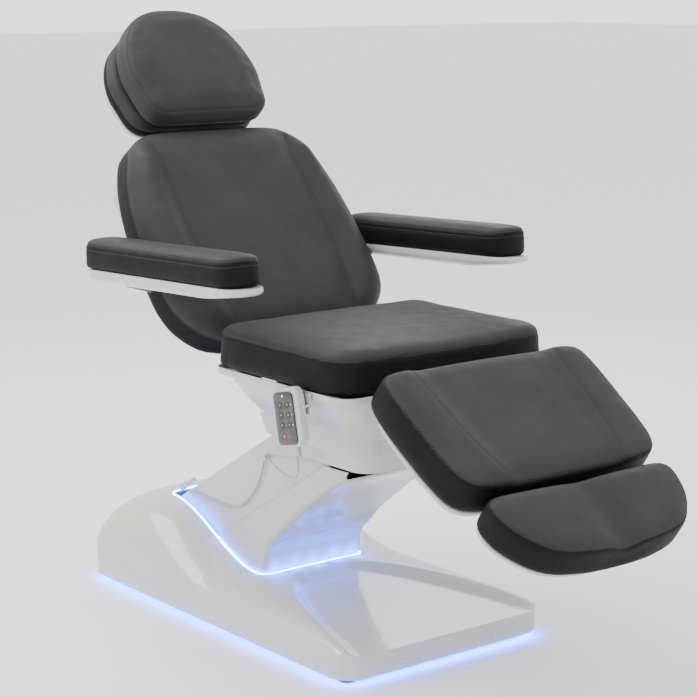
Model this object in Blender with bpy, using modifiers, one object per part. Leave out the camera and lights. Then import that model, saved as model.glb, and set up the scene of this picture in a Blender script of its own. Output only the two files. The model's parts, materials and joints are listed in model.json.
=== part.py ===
"""Electric facial treatment bed: raised base, swinging parallelogram column, padded seat, back, head, arm, leg rests.

Metres, +Z up, +X towards the foot end, +Y to the sitter's left. The bed's origin is on the floor under the middle of
the whole bed. Every length below is measured from the base's own origin, near its middle, which stands at BASE_X.
"""

import math

import bmesh
import bpy
from mathutils import Matrix, Vector

# ---------------------------------------------------------------- driving dimensions
BASE_X = -0.1623          # the base's own origin, from the bed's
GAP = 0.0003              # between pieces that touch
PLAY = 0.0006             # round a shaft or a rod

BASE_REAR, BASE_FRONT, BASE_WIDTH = -0.562, 0.500, 0.600
BASE_FLOOR = 0.015        # underside of the base cover
BASE_WALL = 0.045         # top of its upright wall
HUMP_HEIGHT, SHOULDER_HEIGHT = 0.236, 0.113
HUMP_FRONT, HUMP_FOOT = -0.390, -0.030
SHELL = 0.004             # wall of the moulded covers
POST_DEPTH = 0.1335       # head posts, behind the back cushion's face
EAR_Y = 0.152             # hinge ears of the back and leg frames

WELL_REAR, WELL_FRONT, WELL_HALF = -0.415, 0.004, 0.158

# Parallelogram: lower pivots A and B on the base, upper pivots C and E under the seat.
PIVOT_A = Vector((-0.300, 0.0, 0.190))
PIVOT_B = Vector((-0.200, 0.0, 0.170))
ARM_LENGTH, ARM_ANGLE = 0.500, math.radians(31.0)
ARM_REACH = Vector((ARM_LENGTH * math.cos(ARM_ANGLE), 0.0, ARM_LENGTH * math.sin(ARM_ANGLE)))
PIVOT_C = PIVOT_A + ARM_REACH
PIVOT_E = PIVOT_B + ARM_REACH
LINK_HALF, CHEEK_IN, CHEEK_OUT = 0.100, 0.112, 0.122
REAR_COVER_HALF, FRONT_COVER_HALF = 0.140, 0.150
COVER_SLOPE = math.radians(30.4)
COVER_TOP = Vector((-0.292, 0.0, 0.281))      # a point on the rear cover's upper skin
SKIRT_RADIUS = 0.200                          # front skirt, about pivot B

LIFT_MOTOR = Vector((-0.120, 0.0, 0.068))     # lower eye of the lift actuator
LIFT_EYE_REACH = 0.330                        # its upper eye, from pivot A along the link

SEAT_REAR, SEAT_FRONT, SEAT_HALF = 0.018, 0.508, 0.312
SEAT_BOTTOM, SEAT_TOP = 0.6485, 0.745
PAN_BOTTOM = 0.530
RECLINE_PIVOT = Vector((-0.012, 0.0, 0.652))
LEG_PIVOT = Vector((0.525, 0.0, 0.620))
LEVER_DROP = 0.055                            # from either pivot down to its push rod
BACK_ACTUATOR_Y, LEG_ACTUATOR_Y = 0.050, -0.050
LEVER_SWING_BACK, LEVER_SWING_LEG = math.radians(14.0), math.radians(-4.25)

BACK_ORIGIN, BACK_ANGLE = Vector((-0.035, 0.0, 0.700)), math.radians(129.5)
BACK_DEPTH = 0.118
LEG_ORIGIN, LEG_ANGLE = Vector((0.690, 0.0, 0.660)), math.radians(145.5)
LEG_DEPTH = 0.090
FOOT_DEPTH = 0.082
RAIL_DROP = 0.0255                            # leg frame's middle below the leg cushion
ARMREST_PIVOT = Vector((-0.215, 0.0, 0.830))
ARMREST_IN, ARMREST_OUT = 0.336, 0.446
ARMREST_TILT = math.radians(2.2)

HANDSET_CENTRE = Vector((0.350, -0.328, 0.590))
HANDSET_HALF_WIDTH, HANDSET_HALF_HEIGHT, HANDSET_HALF_DEPTH = 0.043, 0.066, 0.011
HANDSET_TILT = math.radians(-12.0)
KEY_RADIUS, KEY_TRAVEL = 0.0058, 0.0008
CORD_RADIUS = 0.0023

ROUND_STEPS = 24

# ---------------------------------------------------------------- scene, materials, bodies
for old in list(bpy.data.objects):
    bpy.data.objects.remove(old, do_unlink=True)

PARTS = bpy.data.collections.new("facial_treatment_bed")
CUTTERS = bpy.data.collections.new("cutters")
bpy.context.scene.collection.children.link(PARTS)
bpy.context.scene.collection.children.link(CUTTERS)


def make_material(name, colour, roughness, metallic=0.0):
    material = bpy.data.materials.new(name)
    material.use_nodes = True
    shader = material.node_tree.nodes["Principled BSDF"]
    shader.inputs["Base Color"].default_value = (*colour, 1.0)
    shader.inputs["Roughness"].default_value = roughness
    shader.inputs["Metallic"].default_value = metallic
    return material


LEATHER = make_material("grey_leather", (0.085, 0.085, 0.088), 0.45)
WHITE = make_material("white_shell", (0.66, 0.64, 0.61), 0.18)
STEEL = make_material("painted_steel", (0.10, 0.10, 0.11), 0.5, 0.3)
BRIGHT = make_material("bright_steel", (0.75, 0.75, 0.77), 0.2, 1.0)
RUBBER = make_material("black_rubber", (0.03, 0.03, 0.03), 0.8)
MOTOR = make_material("motor_plastic", (0.16, 0.16, 0.17), 0.5)
LIGHT = make_material("blue_light", (0.05, 0.25, 1.0), 0.3)
FACE = make_material("black_gloss", (0.01, 0.01, 0.012), 0.08)
KEY = make_material("key_plastic", (0.05, 0.05, 0.055), 0.3)
STOP = make_material("red_key", (0.55, 0.03, 0.05), 0.3)
CORD = make_material("grey_cord", (0.36, 0.35, 0.32), 0.5)

BODIES = {}


def world(point):
    """A point measured from the base's origin, in the bed's own frame."""
    return Vector(point) + Vector((BASE_X, 0.0, 0.0))


def make_body(name, pivot, parent=None):
    """An empty on the body's joint axis, which its pieces hang from."""
    empty = bpy.data.objects.new("body_" + name, None)
    empty.empty_display_size = 0.05
    PARTS.objects.link(empty)
    empty.location = world(pivot)
    if parent:
        empty.parent = BODIES[parent]
        empty.location -= vector_of(BODIES[parent])
    empty["place"] = world(pivot)
    BODIES[name] = empty


def vector_of(empty):
    return Vector(empty["place"])


def keep(obj, body, material):
    """Files a finished piece under its body, where it stands."""
    obj.data.materials.clear()
    obj.data.materials.append(material)
    obj.parent = BODIES[body]
    obj.matrix_parent_inverse = Matrix.Translation(-vector_of(BODIES[body]))
    return obj


def link(obj, collection=None):
    (collection or PARTS).objects.link(obj)
    return obj


def as_cutter(obj):
    """Hides a guide solid that only shapes another piece."""
    if obj.name in PARTS.objects:
        PARTS.objects.unlink(obj)
        CUTTERS.objects.link(obj)
    obj.hide_render = True
    obj.display_type = "WIRE"
    return obj


def mesh_object(name, bm, smooth=False):
    mesh = bpy.data.meshes.new(name)
    bmesh.ops.recalc_face_normals(bm, faces=bm.faces)
    bm.to_mesh(mesh)
    bm.free()
    if smooth:
        mesh.shade_smooth()
        mesh.set_sharp_from_angle(angle=math.radians(35))
    return link(bpy.data.objects.new(name, mesh))


# ---------------------------------------------------------------- shapes
def box(name, low, high):
    low, high = Vector(low), Vector(high)
    bm = bmesh.new()
    bmesh.ops.create_cube(bm, size=1.0)
    bmesh.ops.scale(bm, vec=high - low, verts=bm.verts)
    obj = mesh_object(name, bm)
    obj.location = world((low + high) / 2)
    return obj


def rod(name, start, end, radius, steps=ROUND_STEPS):
    start, end = Vector(start), Vector(end)
    bm = bmesh.new()
    bmesh.ops.create_cone(bm, cap_ends=True, segments=steps, radius1=radius, radius2=radius,
                          depth=(end - start).length)
    obj = mesh_object(name, bm, smooth=True)
    obj.location = world((start + end) / 2)
    obj.rotation_euler = (end - start).to_track_quat("Z", "Y").to_euler()
    return obj


def turned(name, profile, place, direction, steps=ROUND_STEPS):
    """A profile of (radius, height) turned about direction; it runs down its outer side."""
    mesh = bpy.data.meshes.new(name)
    edges = [(i, i + 1) for i in range(len(profile) - 1)]
    mesh.from_pydata([(r, 0.0, z) for r, z in profile], edges, [])
    obj = link(bpy.data.objects.new(name, mesh))
    screw = obj.modifiers.new("turn", "SCREW")
    screw.axis = "Z"
    screw.steps = screw.render_steps = steps
    screw.use_merge_vertices = True
    screw.merge_threshold = 0.00005
    obj.location = world(place)
    obj.rotation_euler = Vector(direction).to_track_quat("Z", "Y").to_euler()
    return obj


def outline_curve(name, outlines, thickness, matrix, edge=0.0, smooth_turns=0):
    """Closed outlines, the later ones being holes, filled and given a thickness about their plane."""
    curve = bpy.data.curves.new(name, "CURVE")
    curve.dimensions = "2D"
    curve.fill_mode = "BOTH"
    curve.extrude = thickness / 2 - edge
    curve.bevel_depth = edge
    curve.bevel_resolution = 2 if edge > 0.015 else 1
    curve.offset = -edge
    for outline in outlines:
        if smooth_turns:
            curve.resolution_u = smooth_turns
            spline = curve.splines.new("BEZIER")
            spline.bezier_points.add(len(outline) - 1)
            for knot, (x, y) in zip(spline.bezier_points, outline):
                knot.co = (x, y, 0.0)
                knot.handle_left_type = knot.handle_right_type = "AUTO"
        else:
            spline = curve.splines.new("POLY")
            spline.points.add(len(outline) - 1)
            for knot, (x, y) in zip(spline.points, outline):
                knot.co = (x, y, 0.0, 1.0)
        spline.use_cyclic_u = True
    obj = link(bpy.data.objects.new(name, curve))
    obj.matrix_world = Matrix.Translation((BASE_X, 0.0, 0.0)) @ matrix
    return obj


def to_mesh(obj):
    """Turns a curve into a welded mesh, so that it can be cut or joined."""
    bpy.context.view_layer.update()
    shape = obj.evaluated_get(bpy.context.evaluated_depsgraph_get())
    mesh = bpy.data.meshes.new_from_object(shape)
    bm = bmesh.new()
    bm.from_mesh(mesh)
    bmesh.ops.remove_doubles(bm, verts=bm.verts, dist=0.00001)
    bmesh.ops.recalc_face_normals(bm, faces=bm.faces)
    bm.to_mesh(mesh)
    bm.free()
    name, place = obj.name, obj.matrix_world.copy()
    bpy.data.objects.remove(obj, do_unlink=True)
    solid = link(bpy.data.objects.new(name, mesh))
    solid.matrix_world = place
    return solid


def boolean(obj, operation, tools):
    for tool in tools:
        step = obj.modifiers.new(operation.lower(), "BOOLEAN")
        step.operation = operation
        step.object = as_cutter(tool)
    return obj


def cut(obj, *tools):
    return boolean(obj, "DIFFERENCE", tools)


def weld(obj, *tools):
    return boolean(obj, "UNION", tools)


def side_plane(y=0.0):
    """Outlines drawn as (x, z), given their thickness along Y."""
    return Matrix.Translation((0.0, y, 0.0)) @ Matrix.Rotation(math.radians(90), 4, "X")


def floor_plane(z):
    return Matrix.Translation((0.0, 0.0, z))


def pad_plane(origin, angle, depth):
    """Outlines drawn as (y, distance up the slope), at a depth under the pad's face."""
    up = Vector((math.cos(angle), 0.0, math.sin(angle)))
    face = Vector((math.sin(angle), 0.0, -math.cos(angle)))
    place = Vector(origin) - face * depth
    columns = Matrix((Vector((0.0, 1.0, 0.0)), up, face)).transposed()
    return Matrix.Translation(place) @ columns.to_4x4()


def on_pad(origin, angle, y, up, depth):
    return pad_plane(origin, angle, depth) @ Vector((y, up, 0.0))


def both_sides(half):
    """A closed outline from its right half, listed from the bottom up."""
    return half + [(-x, y) for x, y in reversed(half) if x > 0.0]


def arc(centre, radius, start, end, steps):
    """Points round a centre, angles in degrees."""
    turns = [math.radians(start + (end - start) * i / steps) for i in range(steps + 1)]
    return [(centre[0] + radius * math.cos(t), centre[1] + radius * math.sin(t)) for t in turns]


def circle(centre, radius, steps=ROUND_STEPS):
    return arc(centre, radius, 0, 360 * (steps - 1) / steps, steps - 1)


def rounded_box(low, high, radius, steps=5):
    (x0, y0), (x1, y1) = low, high
    return (arc((x1 - radius, y1 - radius), radius, 0, 90, steps)
            + arc((x0 + radius, y1 - radius), radius, 90, 180, steps)
            + arc((x0 + radius, y0 + radius), radius, 180, 270, steps)
            + arc((x1 - radius, y0 + radius), radius, 270, 360, steps))


def two_radius_box(rear, front, half, rear_radius, front_radius, steps):
    """A box along X with one corner radius at its rear and another at its front."""
    return (arc((front - front_radius, half - front_radius), front_radius, 0, 90, steps)
            + arc((rear + rear_radius, half - rear_radius), rear_radius, 90, 180, steps)
            + arc((rear + rear_radius, rear_radius - half), rear_radius, 180, 270, steps)
            + arc((front - front_radius, front_radius - half), front_radius, 270, 360, steps))


def shell_loft(name, rings, thickness, closed_end=False):
    """An open surface through rings of equal length, thickened inwards."""
    bm = bmesh.new()
    rows = [[bm.verts.new(point) for point in ring] for ring in rings]
    count = len(rows[0])
    for upper, lower in zip(rows, rows[1:]):
        for i in range(count):
            j = (i + 1) % count
            bm.faces.new((upper[i], upper[j], lower[j], lower[i]))
    if closed_end:
        bm.faces.new(rows[-1])
    mesh = bpy.data.meshes.new(name)
    bm.to_mesh(mesh)
    bm.free()
    mesh.shade_smooth()
    mesh.set_sharp_from_angle(angle=math.radians(40))
    obj = link(bpy.data.objects.new(name, mesh))
    obj.location = world((0.0, 0.0, 0.0))
    solidify = obj.modifiers.new("wall", "SOLIDIFY")
    solidify.thickness = thickness
    solidify.offset = 1.0
    solidify.use_even_offset = True
    return obj


def tube(name, points, radius, cyclic=False, resolution=2):
    curve = bpy.data.curves.new(name, "CURVE")
    curve.dimensions = "3D"
    curve.bevel_depth = radius
    curve.bevel_resolution = resolution
    curve.use_fill_caps = True
    spline = curve.splines.new("POLY")
    spline.points.add(len(points) - 1)
    for knot, point in zip(spline.points, points):
        knot.co = (*point, 1.0)
    spline.use_cyclic_u = cyclic
    obj = link(bpy.data.objects.new(name, curve))
    obj.location = world((0.0, 0.0, 0.0))
    return obj


def padded_bar(name, plane, middle, half):
    """A bar set square to a pad's plane."""
    bar = box(name, (-half[0], -half[1], -half[2]), half)
    bar.matrix_world = Matrix.Translation((BASE_X, 0, 0)) @ plane @ Matrix.Translation(middle)
    return bar


def smooth_step(value):
    value = min(1.0, max(0.0, value))
    return value * value * (3.0 - 2.0 * value)


# ---------------------------------------------------------------- bodies, from the base up
make_body("base", (0.0, 0.0, 0.0))
make_body("rear_arm", PIVOT_A, "base")
make_body("front_arm", PIVOT_B, "base")
make_body("lift_motor", LIFT_MOTOR, "base")
make_body("lift_rod", LIFT_MOTOR, "lift_motor")
make_body("seat", PIVOT_C, "rear_arm")
make_body("back_rod", RECLINE_PIVOT, "seat")
make_body("leg_rod", LEG_PIVOT, "seat")
make_body("backrest", RECLINE_PIVOT, "seat")
make_body("armrest_left", ARMREST_PIVOT, "backrest")
make_body("armrest_right", ARMREST_PIVOT, "backrest")
HEAD_PIVOT = Vector(on_pad(BACK_ORIGIN, BACK_ANGLE, 0.0, 0.700, POST_DEPTH))
make_body("head_post", HEAD_PIVOT, "backrest")
make_body("headrest", HEAD_PIVOT, "head_post")
make_body("pillow", HEAD_PIVOT, "headrest")
make_body("leg_rest", LEG_PIVOT, "seat")
make_body("foot_rest", LEG_PIVOT, "leg_rest")
make_body("handset", HANDSET_CENTRE, "seat")
KEY_NAMES = ("key_up", "key_down", "key_back_up", "key_back_down", "key_leg_up", "key_leg_down", "key_stop")
for key_name in KEY_NAMES:
    make_body(key_name, HANDSET_CENTRE, "handset")


# ---------------------------------------------------------------- base
def base_height(x, y):
    """Height of the moulded base: a hump behind the column, two shoulders and a scoop between them."""
    across = min(1.0, abs(y) / (BASE_WIDTH / 2))
    ridge = SHOULDER_HEIGHT + (HUMP_HEIGHT - SHOULDER_HEIGHT) * (
        1.0 - smooth_step((x - HUMP_FRONT) / (HUMP_FOOT - HUMP_FRONT)))
    side = (1.0 - across ** 4) ** (1 / 3)
    rear_run, front_run = 0.27, 0.10
    rear = min(1.0, max(0.0, (BASE_REAR + rear_run - x) / rear_run))
    front = min(1.0, max(0.0, (x - BASE_FRONT + front_run) / front_run))
    ends = (1.0 - rear ** 6) ** (1 / 3) * (1.0 - front ** 4) ** (1 / 3)
    height = BASE_WALL + (ridge - BASE_WALL) * side * ends
    floor = 0.098 - 0.060 * x
    half_floor = 0.24 * math.sqrt(max(0.0, (x - 0.02) / 0.45))
    inside = 1.0 - smooth_step((abs(y) - half_floor) / 0.055)
    inside *= smooth_step((x - 0.01) / 0.06)
    if floor < height:
        height += (floor - height) * inside
    return height


def base_plan(inset=0.0):
    """The base's outline seen from above, its front corners rounder than its rear ones."""
    return two_radius_box(BASE_REAR + inset, BASE_FRONT - inset, BASE_WIDTH / 2 - inset, 0.045 - inset,
                          0.058 - inset, 4)


def subdivided(loop, longest):
    """A closed outline with its long sides split."""
    dense = []
    for (x0, y0), (x1, y1) in zip(loop, loop[1:] + loop[:1]):
        pieces = max(1, round(math.hypot(x1 - x0, y1 - y0) / longest))
        dense += [(x0 + (x1 - x0) * i / pieces, y0 + (y1 - y0) * i / pieces) for i in range(pieces)]
    return dense


def make_base_cover():
    plan = subdivided(base_plan(), 0.06)
    middle = (BASE_REAR + BASE_FRONT) / 2
    rings = []
    for spread in (0.04, 0.25, 0.45, 0.62, 0.76, 0.86, 0.93, 0.975, 1.0):
        ring = [(middle + (x - middle) * spread, y * spread) for x, y in plan]
        rings.append([(x, y, base_height(x, y)) for x, y in ring])
    rings.append([(x, y, BASE_FLOOR) for x, y in plan])
    cover = shell_loft("base_cover", rings, SHELL)
    well = outline_curve("well_cutter", [rounded_box((WELL_REAR, -WELL_HALF), (WELL_FRONT, WELL_HALF), 0.03)],
                         0.6, floor_plane(0.2))
    rear_wall = BASE_REAR
    inlet_hole = box("inlet_cutter", (rear_wall - 0.03, -0.016, 0.020), (rear_wall + 0.02, 0.016, 0.044))
    keep(cut(cover, to_mesh(well), inlet_hole), "base", WHITE)


def make_base_frame():
    plate = outline_curve("base_frame", [
        base_plan(0.036),
        rounded_box((0.020, -0.20), (0.180, 0.20), 0.02),
        rounded_box((0.220, -0.20), (0.380, 0.20), 0.02),
        rounded_box((-0.470, -0.20), (-0.370, 0.20), 0.02),
    ], 0.012, floor_plane(0.024))
    keep(plate, "base", STEEL)
    for x, along in ((BASE_FRONT - 0.055, "front"), (BASE_REAR + 0.055, "rear")):
        for y, side in ((0.250, "left"), (-0.250, "right")):
            foot = turned(f"foot_{along}_{side}", [(0.0, 0.0177), (0.017, 0.0177), (0.020, 0.010), (0.020, 0.0),
                                                   (0.0, 0.0)], (x, y, 0.0), (0, 0, 1), 20)
            keep(foot, "base", RUBBER)
    strip = outline_curve("base_light_strip", [base_plan(0.012), base_plan(0.022)], 0.0035,
                          floor_plane(0.01825))
    keep(strip, "base", LIGHT)
    for y, side in ((0.135, "left"), (-0.135, "right")):
        cap = turned(f"screw_cap_{side}", [(0.0, 0.004), (0.006, 0.0036), (0.0085, 0.001), (0.0085, 0.0), (0.0, 0.0)],
                     (BASE_FRONT + GAP, y, 0.033), (1, 0, 0), 16)
        keep(cap, "base", WHITE)


def make_mains_inlet():
    """The mains socket set in the base's rear wall."""
    face = BASE_REAR - 0.0015
    inlet = box("mains_inlet", (face, -0.0155, 0.0205), (face + 0.026, 0.0155, 0.0435))
    recess = box("inlet_recess_cutter", (face - 0.02, -0.012, 0.024), (face + 0.020, 0.012, 0.040))
    keep(cut(inlet, recess), "base", RUBBER)


def make_lift_tower():
    """Welded cheeks carrying both lower shafts and the lift actuator's pin."""
    side = [(-0.335, 0.0303), (-0.070, 0.0303), (-0.070, 0.044), (-0.165, 0.125)]
    side += arc((PIVOT_B.x, PIVOT_B.z), 0.026, -20, 80, 4)
    side += arc((PIVOT_A.x, PIVOT_A.z), 0.026, 80, 190, 5)
    tower = to_mesh(outline_curve("lift_tower", [side], 2 * CHEEK_OUT, side_plane()))
    middle = box("tower_cutter", (-0.40, -CHEEK_IN, 0.044), (0.0, CHEEK_IN, 0.30))
    cut(tower, middle)
    tools = [
        rod("shaft_a", PIVOT_A - Vector((0, 0.118, 0)), PIVOT_A + Vector((0, 0.118, 0)), 0.010),
        rod("shaft_b", PIVOT_B - Vector((0, 0.118, 0)), PIVOT_B + Vector((0, 0.118, 0)), 0.010),
        box("clevis_left", (-0.134, 0.0175, 0.040), (-0.106, 0.0245, 0.077)),
        box("clevis_right", (-0.134, -0.0245, 0.040), (-0.106, -0.0175, 0.077)),
        rod("clevis_pin", LIFT_MOTOR - Vector((0, 0.021, 0)), LIFT_MOTOR + Vector((0, 0.021, 0)), 0.008, 16),
    ]
    keep(weld(tower, *tools), "base", STEEL)


def make_column_light():
    """A light tube in the gap between the column and its well, along the base's surface."""
    inset = 0.0042
    loop = rounded_box((WELL_REAR + inset, -WELL_HALF + inset), (WELL_FRONT - inset, WELL_HALF - inset), 0.026, 3)
    points = [(x, y, base_height(x, y) - 0.001) for x, y in subdivided(loop, 0.05)]
    light = tube("column_light", points, 0.0025, cyclic=True)
    keep(light, "base", LIGHT)


# ---------------------------------------------------------------- column
def link_outline(lower, upper, radius):
    """A bar with round ends, in (x, z)."""
    degrees = math.degrees(ARM_ANGLE)
    return (arc((upper.x, upper.z), radius, degrees - 90, degrees + 90, 8)
            + arc((lower.x, lower.z), radius, degrees + 90, degrees + 270, 8))


def make_link(name, lower, upper, body, bore_play):
    radius = 0.024
    holes = [circle((p.x, p.z), 0.010 + play, 20) for p, play in ((lower, PLAY), (upper, bore_play))]
    bar = to_mesh(outline_curve(name, [link_outline(lower, upper, radius)] + holes, 2 * LINK_HALF, side_plane()))
    along = (upper - lower).normalized()
    window = outline_curve(name + "_window", [link_outline(lower + along * 0.085, upper - along * 0.075, 0.040)],
                           0.076, side_plane())
    keep(cut(bar, to_mesh(window)), body, STEEL)


def cover_point(along, depth):
    """A point beside the column's upper skin: along the arm, and square to it towards the foot end."""
    slope = COVER_SLOPE
    return (COVER_TOP.x + along * math.cos(slope) + depth * math.sin(slope),
            COVER_TOP.z + along * math.sin(slope) - depth * math.cos(slope))


REAR_SIDE = [cover_point(*p) for p in (
    (-0.130, 0.000), (0.440, 0.000), (0.500, 0.030), (0.535, 0.080), (0.540, 0.140), (0.525, 0.160),
    (0.100, 0.178), (0.030, 0.190), (-0.080, 0.140), (-0.120, 0.060))]
FRONT_TOP = [(0.362, 0.4300), (0.235, 0.4290), (-0.205, 0.1585)]
FRONT_SKIN = [(-0.002, 0.165), (0.012, 0.184), (0.038, 0.206), (0.078, 0.247), (0.155, 0.306), (0.228, 0.360),
              (0.300, 0.402)]


def make_arm_covers():
    outer = to_mesh(outline_curve("rear_arm_cover", [REAR_SIDE], 2 * REAR_COVER_HALF, side_plane(), edge=0.010))
    inner = [cover_point(a, d) for a, d in (
        (-0.160, SHELL), (0.438, SHELL), (0.497, 0.034), (0.560, 0.080), (0.560, 0.200), (0.0, 0.260),
        (-0.160, 0.200))]
    hollow = to_mesh(outline_curve("rear_hollow", [inner], 2 * (REAR_COVER_HALF - SHELL), side_plane(), edge=0.006))
    lower_edge = to_mesh(outline_curve("rear_lower_cutter", [[cover_point(a, d) for a, d in (
        (0.60, 0.156), (0.60, 0.30), (-0.20, 0.30), (-0.20, 0.176))]], 0.4, side_plane()))
    upper_end = to_mesh(outline_curve("rear_end_cutter", [[cover_point(a, d) for a, d in (
        (0.395, -0.05), (0.65, -0.05), (0.65, 0.25), (0.395, 0.25))]], 0.253, side_plane()))
    keep(cut(outer, hollow, lower_edge, upper_end), "rear_arm", WHITE)

    skirt = arc((PIVOT_B.x, PIVOT_B.z), SKIRT_RADIUS, -36, -2, 6)
    raised = [(0.362, 0.470), (0.215, 0.470), (-0.235, 0.195)]
    side = raised + [(-0.235, 0.090), (-0.100, 0.060)] + skirt + FRONT_SKIN[1:]
    outer = to_mesh(outline_curve("front_arm_cover", [side], 2 * FRONT_COVER_HALF, side_plane(), edge=0.014))
    inner_skirt = arc((PIVOT_B.x, PIVOT_B.z), SKIRT_RADIUS - SHELL, -60, -2, 8)
    inner_skin = [(x - 0.0025, z + 0.0035) for x, z in FRONT_SKIN[1:]]
    inner = [(0.40, 0.452), (0.40, 0.60), (-0.35, 0.60), (-0.35, 0.0)] + inner_skirt + inner_skin
    hollow = to_mesh(outline_curve("front_hollow", [inner], 2 * (FRONT_COVER_HALF - SHELL), side_plane(),
                                   edge=0.010))
    above = [(0.42, 0.4300)] + FRONT_TOP[:2] + [(-0.26, 0.1247), (-0.26, 0.60), (0.42, 0.60)]
    upper_edge = to_mesh(outline_curve("front_upper_cutter", [above], 0.4, side_plane()))
    below = [(-0.30, 0.0), (-0.045, 0.0), (-0.150, 0.066), (-0.206, 0.070), (-0.206, 0.30), (-0.30, 0.30)]
    lower_edge = to_mesh(outline_curve("front_lower_cutter", [below], 0.4, side_plane()))
    keep(cut(outer, hollow, upper_edge, lower_edge), "front_arm", WHITE)


def make_cable_guides():
    """The socket that takes the handset's cord, and the clip that holds the cord on the way."""
    slope = Vector((math.cos(COVER_SLOPE), 0.0, math.sin(COVER_SLOPE)))
    mouth = Vector((-0.3545, -0.1530, 0.2560))
    socket = turned("cable_socket", [(0.0, 0.070), (0.004, 0.069), (0.0115, 0.004), (0.0115, 0.0), (0.0080, 0.0),
                                     (0.0080, 0.016), (0.0, 0.016)], mouth, slope, 20)
    keep(socket, "rear_arm", WHITE)
    clip = turned("cord_clip", [(0.0, 0.0145), (0.0058, 0.0145), (0.0066, 0.0135), (0.0066, 0.0115), (0.0032, 0.0105),
                                (0.0032, 0.0), (0.0, 0.0)], (0.003, -REAR_COVER_HALF - GAP, 0.402), (0, -1, 0), 16)
    keep(clip, "rear_arm", WHITE)


def make_lift_actuator():
    eye = PIVOT_A + (PIVOT_C - PIVOT_A).normalized() * LIFT_EYE_REACH
    reach = (eye - LIFT_MOTOR).length
    stand = eye - LIFT_MOTOR
    lift_tube = turned("lift_motor", [(0.0, 0.045), (0.0112, 0.045), (0.0112, 0.225), (0.0185, 0.225),
                                      (0.0185, 0.090), (0.0260, 0.085), (0.0260, 0.036), (0.0140, 0.028),
                                      (0.0140, 0.0), (0.0, 0.0)], LIFT_MOTOR, stand)
    across = Vector((0.0, 0.016, 0.0))
    eye_boss = rod("lift_motor_eye", LIFT_MOTOR - across, LIFT_MOTOR + across, 0.017)
    bore = rod("lift_motor_bore", LIFT_MOTOR - 2 * across, LIFT_MOTOR + 2 * across, 0.008 + PLAY, 16)
    keep(cut(weld(lift_tube, eye_boss), bore), "lift_motor", MOTOR)
    way = stand.normalized()
    push = rod("lift_rod", LIFT_MOTOR + way * 0.100, LIFT_MOTOR + way * (reach - 0.010), 0.0100)
    head = rod("lift_rod_eye", eye - across, eye + across, 0.016)
    keep(weld(push, head), "lift_rod", BRIGHT)


# ---------------------------------------------------------------- seat
def make_carrier():
    cheek = [(0.112, 0.425), (0.250, 0.398), (0.280, 0.430), (0.300, 0.546), (0.080, 0.546), (0.098, 0.440)]
    carrier = to_mesh(outline_curve("carrier_frame", [cheek], 2 * CHEEK_OUT, side_plane()))
    cut(carrier, box("carrier_cutter", (0.0, -CHEEK_IN, 0.30), (0.40, CHEEK_IN, 0.536)))
    tools = []
    for name, pivot in (("rear", PIVOT_C), ("front", PIVOT_E)):
        across = Vector((0.0, 0.118, 0.0))
        tools.append(rod(f"upper_{name}_shaft", pivot - across, pivot + across, 0.010))
    for x in (0.110, 0.270):
        for y in (-0.105, 0.105):
            tools.append(box(f"post_{x}_{y}", (x - 0.012, y - 0.012, 0.540), (x + 0.012, y + 0.012, 0.6152)))
    keep(weld(carrier, *tools), "seat", STEEL)


def rounded_ring(x0, x1, half, z, radius):
    return [(x, y, z) for x, y in rounded_box((x0, -half), (x1, half), radius, 5)]


def make_carrier_cover():
    """Two stepped collars that close the gap between the pan and the column; open to the rear."""
    rings = [rounded_ring(-0.020, 0.428, 0.196, PAN_BOTTOM - GAP, 0.060),
             rounded_ring(-0.020, 0.428, 0.196, 0.486, 0.060),
             rounded_ring(-0.020, 0.420, 0.188, 0.479, 0.055), rounded_ring(-0.020, 0.405, 0.170, 0.476, 0.050),
             rounded_ring(-0.020, 0.402, 0.166, 0.470, 0.050), rounded_ring(-0.020, 0.396, 0.162, 0.440, 0.048)]
    cover = shell_loft("carrier_cover", rings, 0.003)
    open_rear = to_mesh(outline_curve("carrier_cover_cutter", [[
        (-0.20, 0.60), (-0.20, 0.30), (0.150, 0.30), (0.100, 0.44), (0.030, 0.56), (0.028, 0.60)]], 0.6, side_plane()))
    keep(cut(cover, open_rear), "seat", WHITE)


def make_pan():
    """The moulded pan under the seat: a rim that shows below the cushion and a bowl that tapers down from it."""
    rings = [rounded_ring(0.006, 0.505, 0.306, 0.6480, 0.045), rounded_ring(0.006, 0.505, 0.306, 0.6330, 0.045),
             rounded_ring(0.012, 0.500, 0.300, 0.6290, 0.045), rounded_ring(0.026, 0.490, 0.286, 0.6270, 0.045),
             rounded_ring(0.030, 0.485, 0.280, 0.6150, 0.050), rounded_ring(0.040, 0.474, 0.258, 0.5800, 0.055),
             rounded_ring(0.052, 0.456, 0.228, 0.5450, 0.060), rounded_ring(0.060, 0.446, 0.210, PAN_BOTTOM, 0.060)]
    pan = shell_loft("seat_pan", rings, SHELL, closed_end=True)
    tools = [box("carrier_opening", (0.070, -0.130, 0.450), (0.310, 0.130, 0.560))]
    for side in (-1, 1):
        near, far = sorted((side * 0.141, side * 0.182))
        tools.append(box(f"rear_notch_{side}", (-0.05, near, 0.570), (0.060, far, 0.70)))
        tools.append(box(f"front_notch_{side}", (0.440, near, 0.570), (0.560, far, 0.70)))
    tools.append(box("rear_lever_notch", (-0.05, 0.020, 0.500), (0.095, 0.080, 0.70)))
    tools.append(box("front_lever_notch", (0.415, -0.080, 0.500), (0.560, -0.020, 0.70)))
    keep(cut(pan, *tools), "seat", WHITE)


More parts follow.
